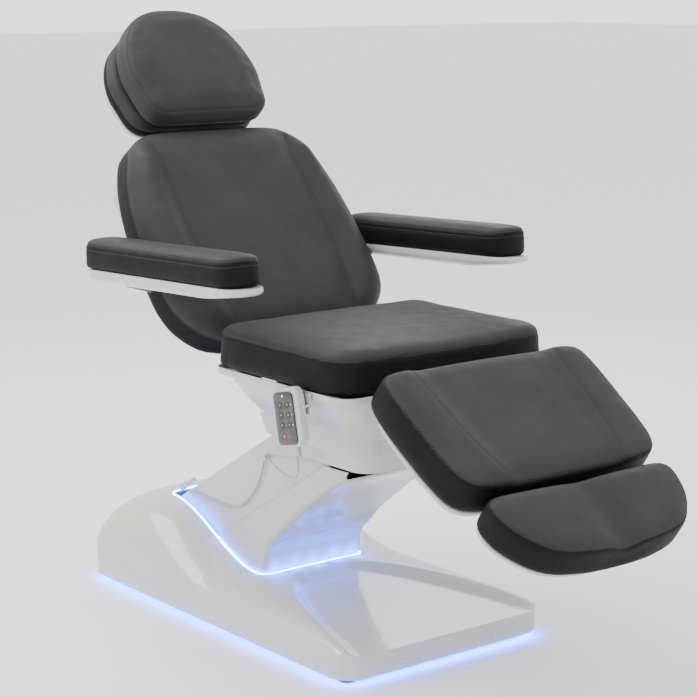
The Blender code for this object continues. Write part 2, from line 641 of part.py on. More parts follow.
def make_seat_frame():
    """Two side rails with hinge ears, joined by cross bars that also carry the two push motors."""
    rail_in, rail_out = 0.1625, 0.1745
    side = [(0.030, 0.606), (0.500, 0.606)]
    side += arc((LEG_PIVOT.x, LEG_PIVOT.z), 0.018, -60, 120, 6)
    side += [(0.490, 0.6400), (0.030, 0.6400)]
    side += arc((RECLINE_PIVOT.x, RECLINE_PIVOT.z), 0.018, 60, 240, 6)
    frame = to_mesh(outline_curve("seat_frame", [side], 2 * rail_out, side_plane()))
    cut(frame, box("seat_frame_cutter", (-0.10, -rail_in, 0.50), (0.60, rail_in, 0.70)))
    tools = []
    for x in (0.110, 0.270, 0.400):
        tools.append(box(f"cross_bar_{x}", (x - 0.014, -0.168, 0.6155), (x + 0.014, 0.168, 0.6345)))
    tools.append(box("leg_motor_hanger", (0.258, LEG_ACTUATOR_Y - 0.012, 0.5828),
                     (0.282, LEG_ACTUATOR_Y + 0.012, 0.620)))
    for name, pivot in (("recline", RECLINE_PIVOT), ("leg", LEG_PIVOT)):
        for y in (-1, 1):
            tools.append(rod(f"{name}_pin_{y}", pivot + Vector((0.0, 0.170 * y, 0.0)),
                             pivot + Vector((0.0, 0.138 * y, 0.0)), 0.0065, 16))
    keep(weld(frame, *tools), "seat", STEEL)
    cushion = outline_curve("seat_cushion", [both_sides([
        (0.0, -SEAT_FRONT), (0.20, -SEAT_FRONT), (0.275, -SEAT_FRONT + 0.014), (0.307, -SEAT_FRONT + 0.060),
        (SEAT_HALF, -0.34), (SEAT_HALF, -0.10), (0.300, -SEAT_REAR - 0.010), (0.240, -SEAT_REAR),
        (0.0, -SEAT_REAR)])],
        SEAT_TOP - SEAT_BOTTOM, pad_plane((0.0, 0.0, (SEAT_TOP + SEAT_BOTTOM) / 2), math.radians(180), 0.0),
        edge=0.030, smooth_turns=3)
    keep(cushion, "seat", LEATHER)


def make_push_motor(name, tail, direction, y, z, body_length, body):
    """A linear motor fixed under the seat, its rod running out towards one of the levers."""
    motor = turned(name, [(0.0, 0.040), (0.0092, 0.040), (0.0092, body_length), (0.0150, body_length),
                          (0.0150, 0.090), (0.0175, 0.086), (0.0175, 0.0), (0.0, 0.0)], (tail, y, z), direction, 20)
    return keep(motor, body, MOTOR)


def make_push_rod(name, start, pin, y, body):
    direction = 1.0 if pin.x > start else -1.0
    push = rod(name, (start, y, pin.z), (pin.x - 0.004 * direction, y, pin.z), 0.0080, 16)
    across = Vector((0.0, 0.0215, 0.0))
    middle = Vector((pin.x, y, pin.z))
    cross_pin = rod(name + "_pin", middle - across, middle + across, 0.0055, 16)
    eye = rod(name + "_eye", middle - across * 0.45, middle + across * 0.45, 0.0105, 16)
    return keep(weld(push, cross_pin, eye), body, BRIGHT)


def lever_pin(pivot, swing):
    """Where a push rod's pin stands at rest in a lever that hangs straight down at its mid travel."""
    return Vector((pivot.x - LEVER_DROP * math.tan(swing), 0.0, pivot.z - LEVER_DROP))


BACK_PIN = lever_pin(RECLINE_PIVOT, LEVER_SWING_BACK)
LEG_PIN = lever_pin(LEG_PIVOT, LEVER_SWING_LEG)


def make_push_motors():
    make_push_motor("back_motor", 0.330, (-1, 0, 0), BACK_ACTUATOR_Y, BACK_PIN.z, 0.245, "seat")
    make_push_rod("back_rod", 0.225, BACK_PIN, BACK_ACTUATOR_Y, "back_rod")
    make_push_motor("leg_motor", 0.190, (1, 0, 0), LEG_ACTUATOR_Y, LEG_PIN.z, 0.240, "seat")
    make_push_rod("leg_rod", 0.300, LEG_PIN, LEG_ACTUATOR_Y, "leg_rod")


def slotted_lever(name, pivot, swing, y):
    """A pair of plates on the torque tube, with a slot that the push rod's pin slides in."""
    near, far, slot_half = 0.046, 0.080, 0.0095
    outline = ([(-0.013, 0.0)] + [(-0.017, -near), (-0.017, -far), (-0.010, -far - 0.009), (0.010, -far - 0.009),
                                 (0.017, -far), (0.017, -near)] + [(0.013, 0.0)])
    slot = [(-slot_half, -near), (-slot_half, -far), (slot_half, -far), (slot_half, -near)]
    plates = []
    for side in (-1, 1):
        matrix = (Matrix.Translation((pivot.x, y + side * 0.0175, pivot.z)) @ Matrix.Rotation(swing, 4, "Y")
                  @ Matrix.Rotation(math.radians(90), 4, "X"))
        plates.append(to_mesh(outline_curve(f"{name}_plate_{side}", [outline, slot], 0.005, matrix)))
    return plates


# ---------------------------------------------------------------- back
def make_backrest():
    def back(y, up, depth):
        return on_pad(BACK_ORIGIN, BACK_ANGLE, y, up, depth)

    slots = ((-0.185, -0.110, 0.190, 0.455), (-0.096, -0.054, 0.180, 0.473), (-0.040, 0.040, 0.172, 0.480),
             (0.054, 0.096, 0.180, 0.473), (0.110, 0.185, 0.190, 0.455))
    plate = to_mesh(outline_curve("back_frame", [rounded_box((-0.240, 0.065), (0.240, 0.560), 0.09)] + [
        rounded_box((left, low), (right, high), 0.012, 3) for left, right, low, high in slots],
        0.010, pad_plane(BACK_ORIGIN, BACK_ANGLE, BACK_DEPTH + 0.0085)))
    ear = [(0.140, 0.123), (0.140, 0.146), (0.045, 0.146), (-0.030, 0.085)]
    pivot_up, pivot_depth = -0.0517, 0.0128
    ear += arc((pivot_up, pivot_depth), 0.020, 130, 340, 7)
    ear += [(-0.022, 0.036), (-0.006, 0.092), (0.006, 0.112), (0.020, 0.1225)]
    tools = []
    for side in (-1, 1):
        points = [(p.x, p.z) for p in (back(0.0, up, depth) for up, depth in ear)]
        tools.append(to_mesh(outline_curve(f"back_ear_{side}", [points], 0.010, side_plane(side * EAR_Y))))
    across = Vector((0.0, 0.1580, 0.0))
    tools.append(rod("torque_tube", RECLINE_PIVOT - across, RECLINE_PIVOT + across, 0.013))
    tools += slotted_lever("back_lever", RECLINE_PIVOT, LEVER_SWING_BACK, BACK_ACTUATOR_Y)
    for x in (-0.075, 0.075):
        tools.append(rod(f"post_sleeve_{x}", back(x, 0.485, POST_DEPTH), back(x, 0.585, POST_DEPTH), 0.0135, 16))
    weld(plate, *tools)
    bores = [rod(f"post_bore_{x}", back(x, 0.10, POST_DEPTH), back(x, 0.70, POST_DEPTH), 0.0085, 16)
             for x in (-0.075, 0.075)]
    bores.append(rod("pin_bore", RECLINE_PIVOT - across * 1.1, RECLINE_PIVOT + across * 1.1, 0.0065 + PLAY, 16))
    keep(cut(plate, *bores), "backrest", STEEL)

    outline = both_sides([(0.0, 0.000), (0.160, 0.002), (0.240, 0.018), (0.295, 0.070), (0.317, 0.130),
                          (0.320, 0.200), (0.316, 0.320), (0.302, 0.420), (0.276, 0.510), (0.240, 0.578),
                          (0.175, 0.606), (0.0, 0.610)])
    cushion = outline_curve("back_cushion", [outline], BACK_DEPTH,
                            pad_plane(BACK_ORIGIN, BACK_ANGLE, BACK_DEPTH / 2), edge=0.045, smooth_turns=3)
    keep(cushion, "backrest", LEATHER)


def make_back_shell():
    """The moulded tray behind the back cushion, from a rim beside it to a nearly flat back."""
    rings = []
    for half, low, high, depth, corner in ((0.256, 0.045, 0.578, 0.1195, 0.09), (0.262, 0.038, 0.584, 0.1310, 0.09),
                                           (0.264, 0.056, 0.584, 0.1500, 0.09), (0.258, 0.085, 0.574, 0.1720, 0.09),
                                           (0.235, 0.120, 0.550, 0.1860, 0.08), (0.150, 0.200, 0.480, 0.1920, 0.07)):
        ring = rounded_box((-half, low), (half, high), corner, 5)
        rings.append([on_pad(BACK_ORIGIN, BACK_ANGLE, y, up, depth) for y, up in ring])
    shell = shell_loft("back_shell", rings, 0.003, closed_end=True)
    plane = pad_plane(BACK_ORIGIN, BACK_ANGLE, 0.0)
    tools = [padded_bar("post_slot", plane, (0.0, 0.580, -POST_DEPTH), (0.095, 0.040, 0.018))]
    for side in (-1, 1):
        tools.append(padded_bar(f"bracket_slot_{side}", plane, (side * 0.250, 0.250, -0.1435), (0.025, 0.016, 0.024)))
        tools.append(padded_bar(f"ear_slot_{side}", plane, (side * EAR_Y, 0.045, -0.135), (0.010, 0.065, 0.030)))
    keep(cut(shell, *tools), "backrest", WHITE)


def make_armrest(side):
    name = "left" if side > 0 else "right"
    body = "armrest_" + name
    pivot = ARMREST_PIVOT
    behind = on_pad(BACK_ORIGIN, BACK_ANGLE, 0.0, 0.250, BACK_DEPTH + 0.0255)
    bracket = rod(f"armrest_bracket_{name}", (behind.x, side * 0.200, behind.z), (behind.x, side * 0.329, behind.z),
                  0.011, 16)
    near, far = sorted((side * 0.3235, side * 0.3298))
    reach = box(f"bracket_reach_{name}", (behind.x - 0.013, near, behind.z - 0.010), (pivot.x + 0.013, far, 0.844))
    pin = rod(f"bracket_pin_{name}", pivot + Vector((0, side * 0.325, 0)), pivot + Vector((0, side * 0.368, 0)), 0.009,
              16)
    keep(weld(bracket, reach, pin), "backrest", STEEL)

    turn = Matrix.Rotation(-ARMREST_TILT, 4, "Y")
    middle = (ARMREST_IN + ARMREST_OUT) / 2 * side

    def level(z):
        return Matrix.Translation((0.0, middle, z)) @ turn

    half = (ARMREST_OUT - ARMREST_IN) / 2
    pad = outline_curve(f"armrest_pad_{name}", [two_radius_box(-0.330, 0.285, half, 0.030, 0.048, 4)],
                        0.066, level(0.8915), edge=0.020)
    keep(pad, body, LEATHER)
    shell = to_mesh(outline_curve(f"armrest_shell_{name}", [two_radius_box(-0.320, 0.298, half - 0.004, 0.028, 0.046, 4)],
                                  0.030, level(0.8430), edge=0.006))
    bore = rod(f"armrest_bore_{name}", pivot + Vector((0, side * 0.30, 0)), pivot + Vector((0, side * 0.372, 0)),
               0.009 + PLAY, 16)
    keep(cut(shell, bore), body, WHITE)


# ---------------------------------------------------------------- head
def make_head():
    def head(y, up, depth):
        return on_pad(BACK_ORIGIN, BACK_ANGLE, y, up, depth)

    posts = rod("head_post", head(-0.075, 0.340, POST_DEPTH), head(-0.075, 0.700, POST_DEPTH), 0.0079, 16)
    tools = [rod("head_post_far", head(0.075, 0.340, POST_DEPTH), head(0.075, 0.700, POST_DEPTH), 0.0079, 16),
             rod("head_bar", head(-0.110, 0.700, POST_DEPTH), head(0.110, 0.700, POST_DEPTH), 0.0090, 16)]
    keep(weld(posts, *tools), "head_post", BRIGHT)

    rings = []
    for grow, depth in ((0.000, 0.1060), (0.004, 0.1120), (0.002, 0.1220), (-0.012, 0.1300), (-0.050, 0.1340)):
        outline = head_outline(0.190 + grow, 0.645 - grow, 0.930 + grow)
        rings.append([head(y, up, depth) for y, up in outline])
    tray = shell_loft("head_shell", rings, 0.003, closed_end=True)
    knuckles = []
    for y in (-0.098, 0.098):
        start, end = (head(y + side * 0.008, 0.700, POST_DEPTH) for side in (-1, 1))
        knuckles.append(rod(f"head_knuckle_{y}", start, end, 0.0150, 16))
    bar_room = padded_bar("head_bar_cutter", pad_plane(BACK_ORIGIN, BACK_ANGLE, 0.0), (0.0, 0.672, -POST_DEPTH),
                          (0.088, 0.042, 0.060))
    bore = rod("head_bar_bore", head(-0.20, 0.700, POST_DEPTH), head(0.20, 0.700, POST_DEPTH), 0.0090 + PLAY, 16)
    keep(cut(weld(tray, *knuckles), bar_room, bore), "headrest", WHITE)

    pad = outline_curve("head_pad", [head_outline(0.207, 0.628, 0.944)], 0.062,
                        pad_plane(BACK_ORIGIN, BACK_ANGLE, 0.0730), edge=0.020)
    keep(pad, "headrest", LEATHER)
    pillow = outline_curve("pillow", [head_outline(0.198, 0.613, 0.952)], 0.074,
                           pad_plane(BACK_ORIGIN, BACK_ANGLE, 0.0040), edge=0.024)
    keep(pillow, "pillow", LEATHER)


def head_outline(half, low, high):
    """A flat lower edge with round corners under a tall round top."""
    corner, waist = 0.055, low + 0.37 * (high - low)
    right = arc((half - corner - 0.012, low + corner), corner, -90, -10, 4)
    right += [(half, waist)]
    top = []
    for i in range(1, 8):
        turn = math.radians(90) * i / 8
        top.append((half * math.cos(turn) ** 0.86, waist + (high - waist) * math.sin(turn)))
    return both_sides(right + top + [(0.0, high)])


# ---------------------------------------------------------------- leg and foot
def make_leg_rest():
    def leg(y, down, depth):
        return on_pad(LEG_ORIGIN, LEG_ANGLE, y, -down, depth)

    rail = LEG_DEPTH + RAIL_DROP
    across = Vector((0.0, 0.1580, 0.0))
    frame = rod("leg_frame", LEG_PIVOT - across, LEG_PIVOT + across, 0.013)
    tools = slotted_lever("leg_lever", LEG_PIVOT, LEVER_SWING_LEG, LEG_ACTUATOR_Y)
    plane = pad_plane(LEG_ORIGIN, LEG_ANGLE, 0.0)
    for side in (-1, 1):
        tools.append(padded_bar(f"leg_rail_{side}", plane, (side * EAR_Y, -0.050, -rail), (0.005, 0.165, 0.009)))
    for down in (0.060, 0.190):
        tools.append(padded_bar(f"leg_cross_{down}", plane, (0.0, -down, -rail), (0.155, 0.012, 0.0125)))
    weld(frame, *tools)
    bores = [rod(f"rail_bore_{y}", leg(y, -0.08, rail), leg(y, 0.40, rail), 0.0085, 16) for y in (-0.120, 0.120)]
    bores.append(rod("leg_pin_bore", LEG_PIVOT - across * 1.1, LEG_PIVOT + across * 1.1, 0.0065 + PLAY, 16))
    keep(cut(frame, *bores), "leg_rest", STEEL)

    shell = outline_curve("leg_shell", [both_sides([(0.0, -0.228), (0.180, -0.226), (0.262, -0.205), (0.284, -0.130),
                                                    (0.288, 0.000), (0.276, 0.060), (0.220, 0.082), (0.0, 0.082)])],
                          0.012, pad_plane(LEG_ORIGIN, LEG_ANGLE, LEG_DEPTH + 0.0065), edge=0.004, smooth_turns=3)
    keep(shell, "leg_rest", WHITE)
    cushion = outline_curve("leg_cushion", [both_sides([
        (0.0, -0.240), (0.190, -0.238), (0.266, -0.218), (0.292, -0.165), (0.300, -0.060), (0.300, 0.050),
        (0.280, 0.108), (0.205, 0.122), (0.0, 0.124)])], LEG_DEPTH, pad_plane(LEG_ORIGIN, LEG_ANGLE, LEG_DEPTH / 2),
        edge=0.030, smooth_turns=3)
    keep(cushion, "leg_rest", LEATHER)


def make_foot_rest():
    def leg(y, down, depth):
        return on_pad(LEG_ORIGIN, LEG_ANGLE, y, -down, depth)

    rail = LEG_DEPTH + RAIL_DROP
    plane = pad_plane(LEG_ORIGIN, LEG_ANGLE, 0.0)
    rails = rod("foot_frame", leg(-0.120, -0.060, rail), leg(-0.120, 0.375, rail), 0.0079, 16)
    tools = [rod("foot_rail_far", leg(0.120, -0.060, rail), leg(0.120, 0.375, rail), 0.0079, 16)]
    for down in (0.262, 0.360):
        tools.append(padded_bar(f"foot_cross_{down}", plane, (0.0, -down, -rail + 0.0075), (0.160, 0.010, 0.0160)))
    keep(weld(rails, *tools), "foot_rest", STEEL)
    shell = outline_curve("foot_shell", [both_sides([(0.0, -0.430), (0.120, -0.424), (0.195, -0.396),
                                                     (0.244, -0.335), (0.252, -0.285), (0.228, -0.256),
                                                     (0.120, -0.254), (0.0, -0.254)])],
                          0.009, pad_plane(LEG_ORIGIN, LEG_ANGLE, FOOT_DEPTH + 0.0048), edge=0.003, smooth_turns=3)
    keep(shell, "foot_rest", WHITE)
    cushion = outline_curve("foot_cushion", [both_sides([
        (0.0, -0.447), (0.100, -0.442), (0.185, -0.420), (0.244, -0.362), (0.266, -0.302), (0.260, -0.264),
        (0.228, -0.249), (0.110, -0.247), (0.0, -0.247)])], FOOT_DEPTH,
        pad_plane(LEG_ORIGIN, LEG_ANGLE, FOOT_DEPTH / 2), edge=0.030, smooth_turns=3)
    keep(cushion, "foot_rest", LEATHER)


# ---------------------------------------------------------------- handset
def handset_plane(depth):
    """Outlines drawn as (to the right, up) of someone facing the handset; depth is out of its face."""
    return (Matrix.Translation(HANDSET_CENTRE - Vector((0.0, depth, 0.0)))
            @ Matrix.Rotation(HANDSET_TILT, 4, "Y") @ Matrix.Rotation(math.radians(90), 4, "X"))


def make_handset():
    half_w, half_h, half_d = HANDSET_HALF_WIDTH, HANDSET_HALF_HEIGHT, HANDSET_HALF_DEPTH
    body = to_mesh(outline_curve("handset_body", [rounded_box((-half_w, -half_h), (half_w, half_h), 0.022)],
                                 2 * half_d, handset_plane(0.0), edge=0.004))
    below = handset_plane(0.0) @ Vector((0.012, -half_h + 0.002, 0.0))
    end = handset_plane(0.0) @ Vector((0.012, -half_h - 0.020, 0.0))
    relief = turned("handset_relief", [(0.0, 0.024), (0.0036, 0.024), (0.0058, 0.0), (0.0, 0.0)], below,
                    end - below, 16)
    keep(weld(body, relief), "handset", WHITE)

    rows, columns = (0.028, 0.006, -0.016), (-0.016, 0.010)
    places = [(x, z) for z in rows for x in columns] + [(-0.014, -0.041)]
    holes = [circle(place, KEY_RADIUS + 0.0007, 14) for place in places]
    face = outline_curve("handset_face", [rounded_box((-half_w + 0.003, -half_h + 0.006), (half_w - 0.014,
                         half_h - 0.010), 0.012)] + holes, 0.0030, handset_plane(half_d + GAP + 0.0015))
    keep(face, "handset", FACE)
    for name, (x, z) in zip(KEY_NAMES, places):
        centre = handset_plane(half_d + GAP + KEY_TRAVEL + 0.0001) @ Vector((x, z, 0.0))
        key = turned(name, [(0.0, 0.0034), (KEY_RADIUS - 0.001, 0.0033), (KEY_RADIUS, 0.0026), (KEY_RADIUS, 0.0),
                            (0.0, 0.0)], centre, (0, -1, 0), 14)
        keep(key, name, STOP if name == "key_stop" else KEY)


def make_hook():
    """A bent steel bracket on the pan's rim: a plate behind the handset and a peg beside it."""
    plate = box("handset_hook", (0.352, -0.3148, 0.600), (0.398, -0.3112, 0.6470))
    foot = box("hook_foot", (0.355, -0.3130, 0.634), (0.395, -0.3064, 0.6465))
    peg = rod("hook_peg", (0.4005, -0.312, 0.622), (0.4005, -0.334, 0.622), 0.0030, 12)
    arm = box("hook_arm", (0.390, -0.3148, 0.616), (0.4040, -0.3112, 0.628))
    keep(weld(plate, foot, arm, peg), "seat", BRIGHT)


# ---------------------------------------------------------------- cord
# Routes of the handset's cord: from its relief to the clip, and from the clip to the socket.
UPPER_ROUTE = [(0.3693, -0.3280, 0.5030), (0.3710, -0.3270, 0.4880), (0.3660, -0.3230, 0.4700),
               (0.3450, -0.3130, 0.4520), (0.3100, -0.2960, 0.4400), (0.2640, -0.2740, 0.4300),
               (0.2120, -0.2490, 0.4220), (0.1600, -0.2240, 0.4160), (0.1100, -0.2000, 0.4120),
               (0.0660, -0.1790, 0.4100), (0.0370, -0.1630, 0.4090), (0.0170, -0.1510, 0.4085)]
LOWER_ROUTE = [(0.0090, -0.1465, 0.4075), (0.0030, -0.1455, 0.4092), (-0.0032, -0.1455, 0.4055),
               (-0.0062, -0.1455, 0.3970), (-0.0120, -0.1458, 0.3790), (-0.0230, -0.1460, 0.3480),
               (-0.0450, -0.1460, 0.3130), (-0.0720, -0.1460, 0.2860), (-0.0950, -0.1460, 0.2670),
               (-0.1200, -0.1460, 0.2540), (-0.1500, -0.1460, 0.2470), (-0.1850, -0.1460, 0.2460),
               (-0.2250, -0.1460, 0.2480), (-0.2650, -0.1460, 0.2500), (-0.3000, -0.1465, 0.2510),
               (-0.3270, -0.1480, 0.2500)]


def smooth_route(route, steps):
    """Points along a smooth curve through the route's own points."""
    points = [Vector(p) for p in route]
    ends = [points[0] * 2 - points[1]] + points + [points[-1] * 2 - points[-2]]
    result = []
    for before, start, end, after in zip(ends, ends[1:], ends[2:], ends[3:]):
        for i in range(steps):
            t = i / steps
            result.append(0.5 * ((2 * start) + (end - before) * t + (2 * before - 5 * start + 4 * end - after) * t * t
                                 + (3 * start - before - 3 * end + after) * t ** 3))
    return result + [points[-1]]


def make_cord():
    keep(tube("cord_upper", smooth_route(UPPER_ROUTE, 3), CORD_RADIUS), "seat", CORD)
    keep(tube("cord_lower", smooth_route(LOWER_ROUTE, 3), CORD_RADIUS), "rear_arm", CORD)


# ---------------------------------------------------------------- the bed
make_base_cover()
make_base_frame()
make_mains_inlet()
make_lift_tower()
make_column_light()
make_link("rear_link", PIVOT_A, PIVOT_C, "rear_arm", PLAY)
make_link("front_link", PIVOT_B, PIVOT_E, "front_arm", 0.0012)
make_arm_covers()
make_cable_guides()
make_lift_actuator()
make_carrier()
make_carrier_cover()
make_pan()
make_seat_frame()
make_push_motors()
make_backrest()
make_back_shell()
for armrest_side in (1, -1):
    make_armrest(armrest_side)
make_head()
make_leg_rest()
make_foot_rest()
make_handset()
make_hook()
make_cord()
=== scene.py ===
"""Facial treatment bed: leather pads, moulded covers, lights and camera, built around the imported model.

Metres. Lengths are measured from the base's own origin, as in the CAD, and shifted to the bed's frame on the
way in.
"""

import json
from math import cos, exp, pi, radians, sin, sqrt

import bmesh
import bpy
import numpy as np
from mathutils import Matrix, Vector
from mathutils.bvhtree import BVHTree
from mathutils.kdtree import KDTree

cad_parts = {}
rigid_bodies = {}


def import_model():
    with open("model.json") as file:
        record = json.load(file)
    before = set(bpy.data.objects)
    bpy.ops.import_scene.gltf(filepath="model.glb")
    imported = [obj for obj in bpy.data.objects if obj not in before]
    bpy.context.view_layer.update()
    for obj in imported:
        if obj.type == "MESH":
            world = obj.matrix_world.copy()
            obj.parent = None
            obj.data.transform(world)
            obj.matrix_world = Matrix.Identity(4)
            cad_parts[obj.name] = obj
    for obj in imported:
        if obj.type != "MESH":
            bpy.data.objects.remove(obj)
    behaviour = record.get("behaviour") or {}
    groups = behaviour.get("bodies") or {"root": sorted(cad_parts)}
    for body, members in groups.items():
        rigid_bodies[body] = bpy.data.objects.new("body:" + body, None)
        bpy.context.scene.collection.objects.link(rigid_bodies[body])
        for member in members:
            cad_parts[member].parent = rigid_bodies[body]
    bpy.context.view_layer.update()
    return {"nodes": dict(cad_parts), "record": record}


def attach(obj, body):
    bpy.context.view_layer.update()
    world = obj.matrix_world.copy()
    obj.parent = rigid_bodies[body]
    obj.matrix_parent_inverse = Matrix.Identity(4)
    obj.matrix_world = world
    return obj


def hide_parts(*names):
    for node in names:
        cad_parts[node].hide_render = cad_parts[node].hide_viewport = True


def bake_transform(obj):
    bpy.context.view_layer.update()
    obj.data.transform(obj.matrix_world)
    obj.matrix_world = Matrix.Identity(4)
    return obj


for left_over in list(bpy.data.objects):
    bpy.data.objects.remove(left_over, do_unlink=True)
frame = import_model()
NODES, BODIES = frame["nodes"], frame["record"]["behaviour"]["bodies"]
BODY_OF = {node: body for body, members in BODIES.items() for node in members}

BASE = Vector((-0.1623, 0.0, 0.0))          # the base's origin, from the bed's
SHIFT = Matrix.Translation(BASE)

BASE_REAR, BASE_FRONT, BASE_HALF, BASE_FLOOR, BASE_WALL = -0.562, 0.5, 0.3, 0.015, 0.045
HUMP_HEIGHT, SHOULDER_HEIGHT, HUMP_FRONT, HUMP_FOOT = 0.236, 0.113, -0.39, -0.03
WELL_REAR, WELL_FRONT, WELL_HALF = -0.415, 0.004, 0.158
PIVOT_B = Vector((-0.2, 0.0, 0.17))         # the front arm's hinge on the base
REAR_COVER_HALF, FRONT_COVER_HALF, SHELL = 0.14, 0.15, 0.004
COVER_SLOPE, COVER_TOP, SKIRT_RADIUS = radians(30.4), Vector((-0.292, 0.0, 0.281)), 0.2
PAN_BOTTOM = 0.53
# The plane of each pad's face: a point in it, and the direction up it as an angle from +X.
BACK = (Vector((-0.035, 0.0, 0.7)), radians(129.5))
LEG = (Vector((0.69, 0.0, 0.66)), radians(145.5))
SEAT = (Vector((0.0, 0.0, 0.745)), radians(180))
POST_DEPTH = 0.1335                         # of the head rest's posts, under the back's face
ARMREST_TILT = radians(2.2)
HANDSET, HANDSET_TILT = Vector((0.35, -0.328, 0.59)), radians(-12.0)
KEYS = ("key_up", "key_down", "key_back_up", "key_back_down", "key_leg_up", "key_leg_down", "key_stop")


# ---------------------------------------------------------------- materials
class Shader:
    """A procedural material: a Principled shader and helpers that wire textures to it."""

    def __init__(self, name, colour, roughness, **constants):
        self.material = bpy.data.materials.new(name)
        self.material.use_nodes = True
        self.tree = self.material.node_tree
        self.shader = self.tree.nodes["Principled BSDF"]
        self.place = self.add("ShaderNodeTexCoord").outputs["Object"]
        self.fill(self.shader, Base_Color=(*colour, 1.0), Roughness=roughness, **constants)
        self.height = None

    def fill(self, node, **values):
        for key, value in values.items():
            node.inputs[key.replace("_", " ")].default_value = value
        return node

    def add(self, kind, **values):
        return self.fill(self.tree.nodes.new(kind), **values)

    def wire(self, source, target):
        self.tree.links.new(source, target)

    def noise(self, scale, detail=3.0, stretch=None):
        node, place = self.add("ShaderNodeTexNoise", Scale=scale, Detail=detail), self.place
        if stretch:
            mapping = self.add("ShaderNodeMapping", Scale=stretch)
            self.wire(place, mapping.inputs["Vector"])
            place = mapping.outputs["Vector"]
        self.wire(place, node.inputs["Vector"])
        return node.outputs["Fac"]

    def cells(self, scale):
        node = self.add("ShaderNodeTexVoronoi", Scale=scale)
        self.wire(self.place, node.inputs["Vector"])
        return node.outputs["Distance"]

    def ramp(self, value, stops):
        node = self.add("ShaderNodeValToRGB")
        for stop, (at, colour) in zip(node.color_ramp.elements, stops):
            stop.position, stop.color = at, (*colour, 1.0)
        self.wire(value, node.inputs["Fac"])
        return node.outputs["Color"]

    def colours(self, value, stops):
        self.wire(self.ramp(value, stops), self.shader.inputs["Base Color"])

    def shades(self, value, colour, dark, light):
        """The colour, between two shares of itself."""
        self.colours(value, ((0.3, [dark * c for c in colour]), (0.7, [light * c for c in colour])))

    def rough(self, value, low, high):
        """Roughness from low to high over the middle of a texture's range."""
        node = self.add("ShaderNodeMapRange", From_Min=0.3, From_Max=0.7, To_Min=low, To_Max=high)
        self.wire(value, node.inputs["Value"])
        self.wire(node.outputs["Result"], self.shader.inputs["Roughness"])

    def bump(self, value, strength, distance):
        node = self.add("ShaderNodeBump", Strength=strength, Distance=distance)
        self.wire(value, node.inputs["Height"])
        if self.height:
            self.wire(self.height, node.inputs["Normal"])
        self.height = node.outputs["Normal"]
        self.wire(self.height, self.shader.inputs["Normal"])


def make_leather():
    """Grained leather, with painted shade: much darker where a point attribute marks a pad's side band, for
    the shade on sides that the light from above misses.
    """
    leather = Shader("grey_leather", (0.03, 0.03, 0.032), 0.6, Specular_IOR_Level=0.11)
    mottled = leather.noise(9.0, 5.0)
    # The first tone is the leather's own colour; the second, far darker, is painted shade for the side bands.
    tones = [leather.ramp(mottled, stops) for stops in (
        ((0.32, (0.0315, 0.0316, 0.0324)), (0.68, (0.0385, 0.0387, 0.0395))),
        ((0.32, (0.006, 0.0061, 0.0064)), (0.68, (0.008, 0.0081, 0.0085))))]
    painted_side_shade, mix = leather.add("ShaderNodeAttribute"), leather.add("ShaderNodeMix")
    painted_side_shade.attribute_name, mix.data_type = "painted_side_shade", "RGBA"
    leather.wire(painted_side_shade.outputs["Fac"], mix.inputs["Factor"])
    for tone, socket in zip(tones, (mix.inputs[6], mix.inputs[7])):
        leather.wire(tone, socket)
    leather.wire(mix.outputs[2], leather.shader.inputs["Base Color"])
    leather.rough(leather.noise(26.0, 4.0), 0.5, 0.6)
    leather.bump(leather.noise(34.0, 3.0), 0.25, 0.0016)
    leather.bump(leather.cells(620.0), 0.34, 0.0003)
    leather.bump(leather.noise(1900.0, 2.0), 0.2, 0.00012)
    return leather.material


def make_white():
    white = Shader("white_shell", (0.72, 0.705, 0.68), 0.2, Coat_Weight=0.55, Coat_Roughness=0.06,
                   Specular_IOR_Level=0.5)
    white.colours(white.noise(5.0, 4.0), ((0.3, (0.545, 0.532, 0.512)), (0.7, (0.572, 0.56, 0.541))))
    white.rough(white.noise(40.0, 4.0), 0.17, 0.27)
    white.bump(white.noise(14.0, 2.0), 0.1, 0.0012)
    return white.material


def make_steel(name, colour, roughness, metallic, grain):
    steel = Shader(name, colour, roughness, Metallic=metallic)
    steel.rough(steel.noise(60.0, 5.0, (1.0, 14.0, 1.0)), roughness - 0.07, roughness + 0.09)
    steel.shades(steel.noise(22.0, 4.0), colour, 0.9, 1.06)
    steel.bump(steel.noise(grain, 3.0), 0.12, 0.0003)
    return steel.material


def make_plastic(name, colour, roughness, grain, depth, **constants):
    plastic = Shader(name, colour, roughness, **constants)
    plastic.shades(plastic.noise(45.0, 3.0), colour, 0.93, 1.06)
    plastic.rough(plastic.noise(70.0, 3.0), roughness - 0.05, roughness + 0.07)
    plastic.bump(plastic.noise(grain, 2.0), 0.15, depth)
    return plastic.material


def make_glow(name, colour, strength):
    glow = Shader(name, (0.6, 0.75, 1.0), 0.3, Emission_Strength=strength, Emission_Color=(*colour, 1.0))
    glow.rough(glow.noise(50.0), 0.25, 0.4)
    return glow.material


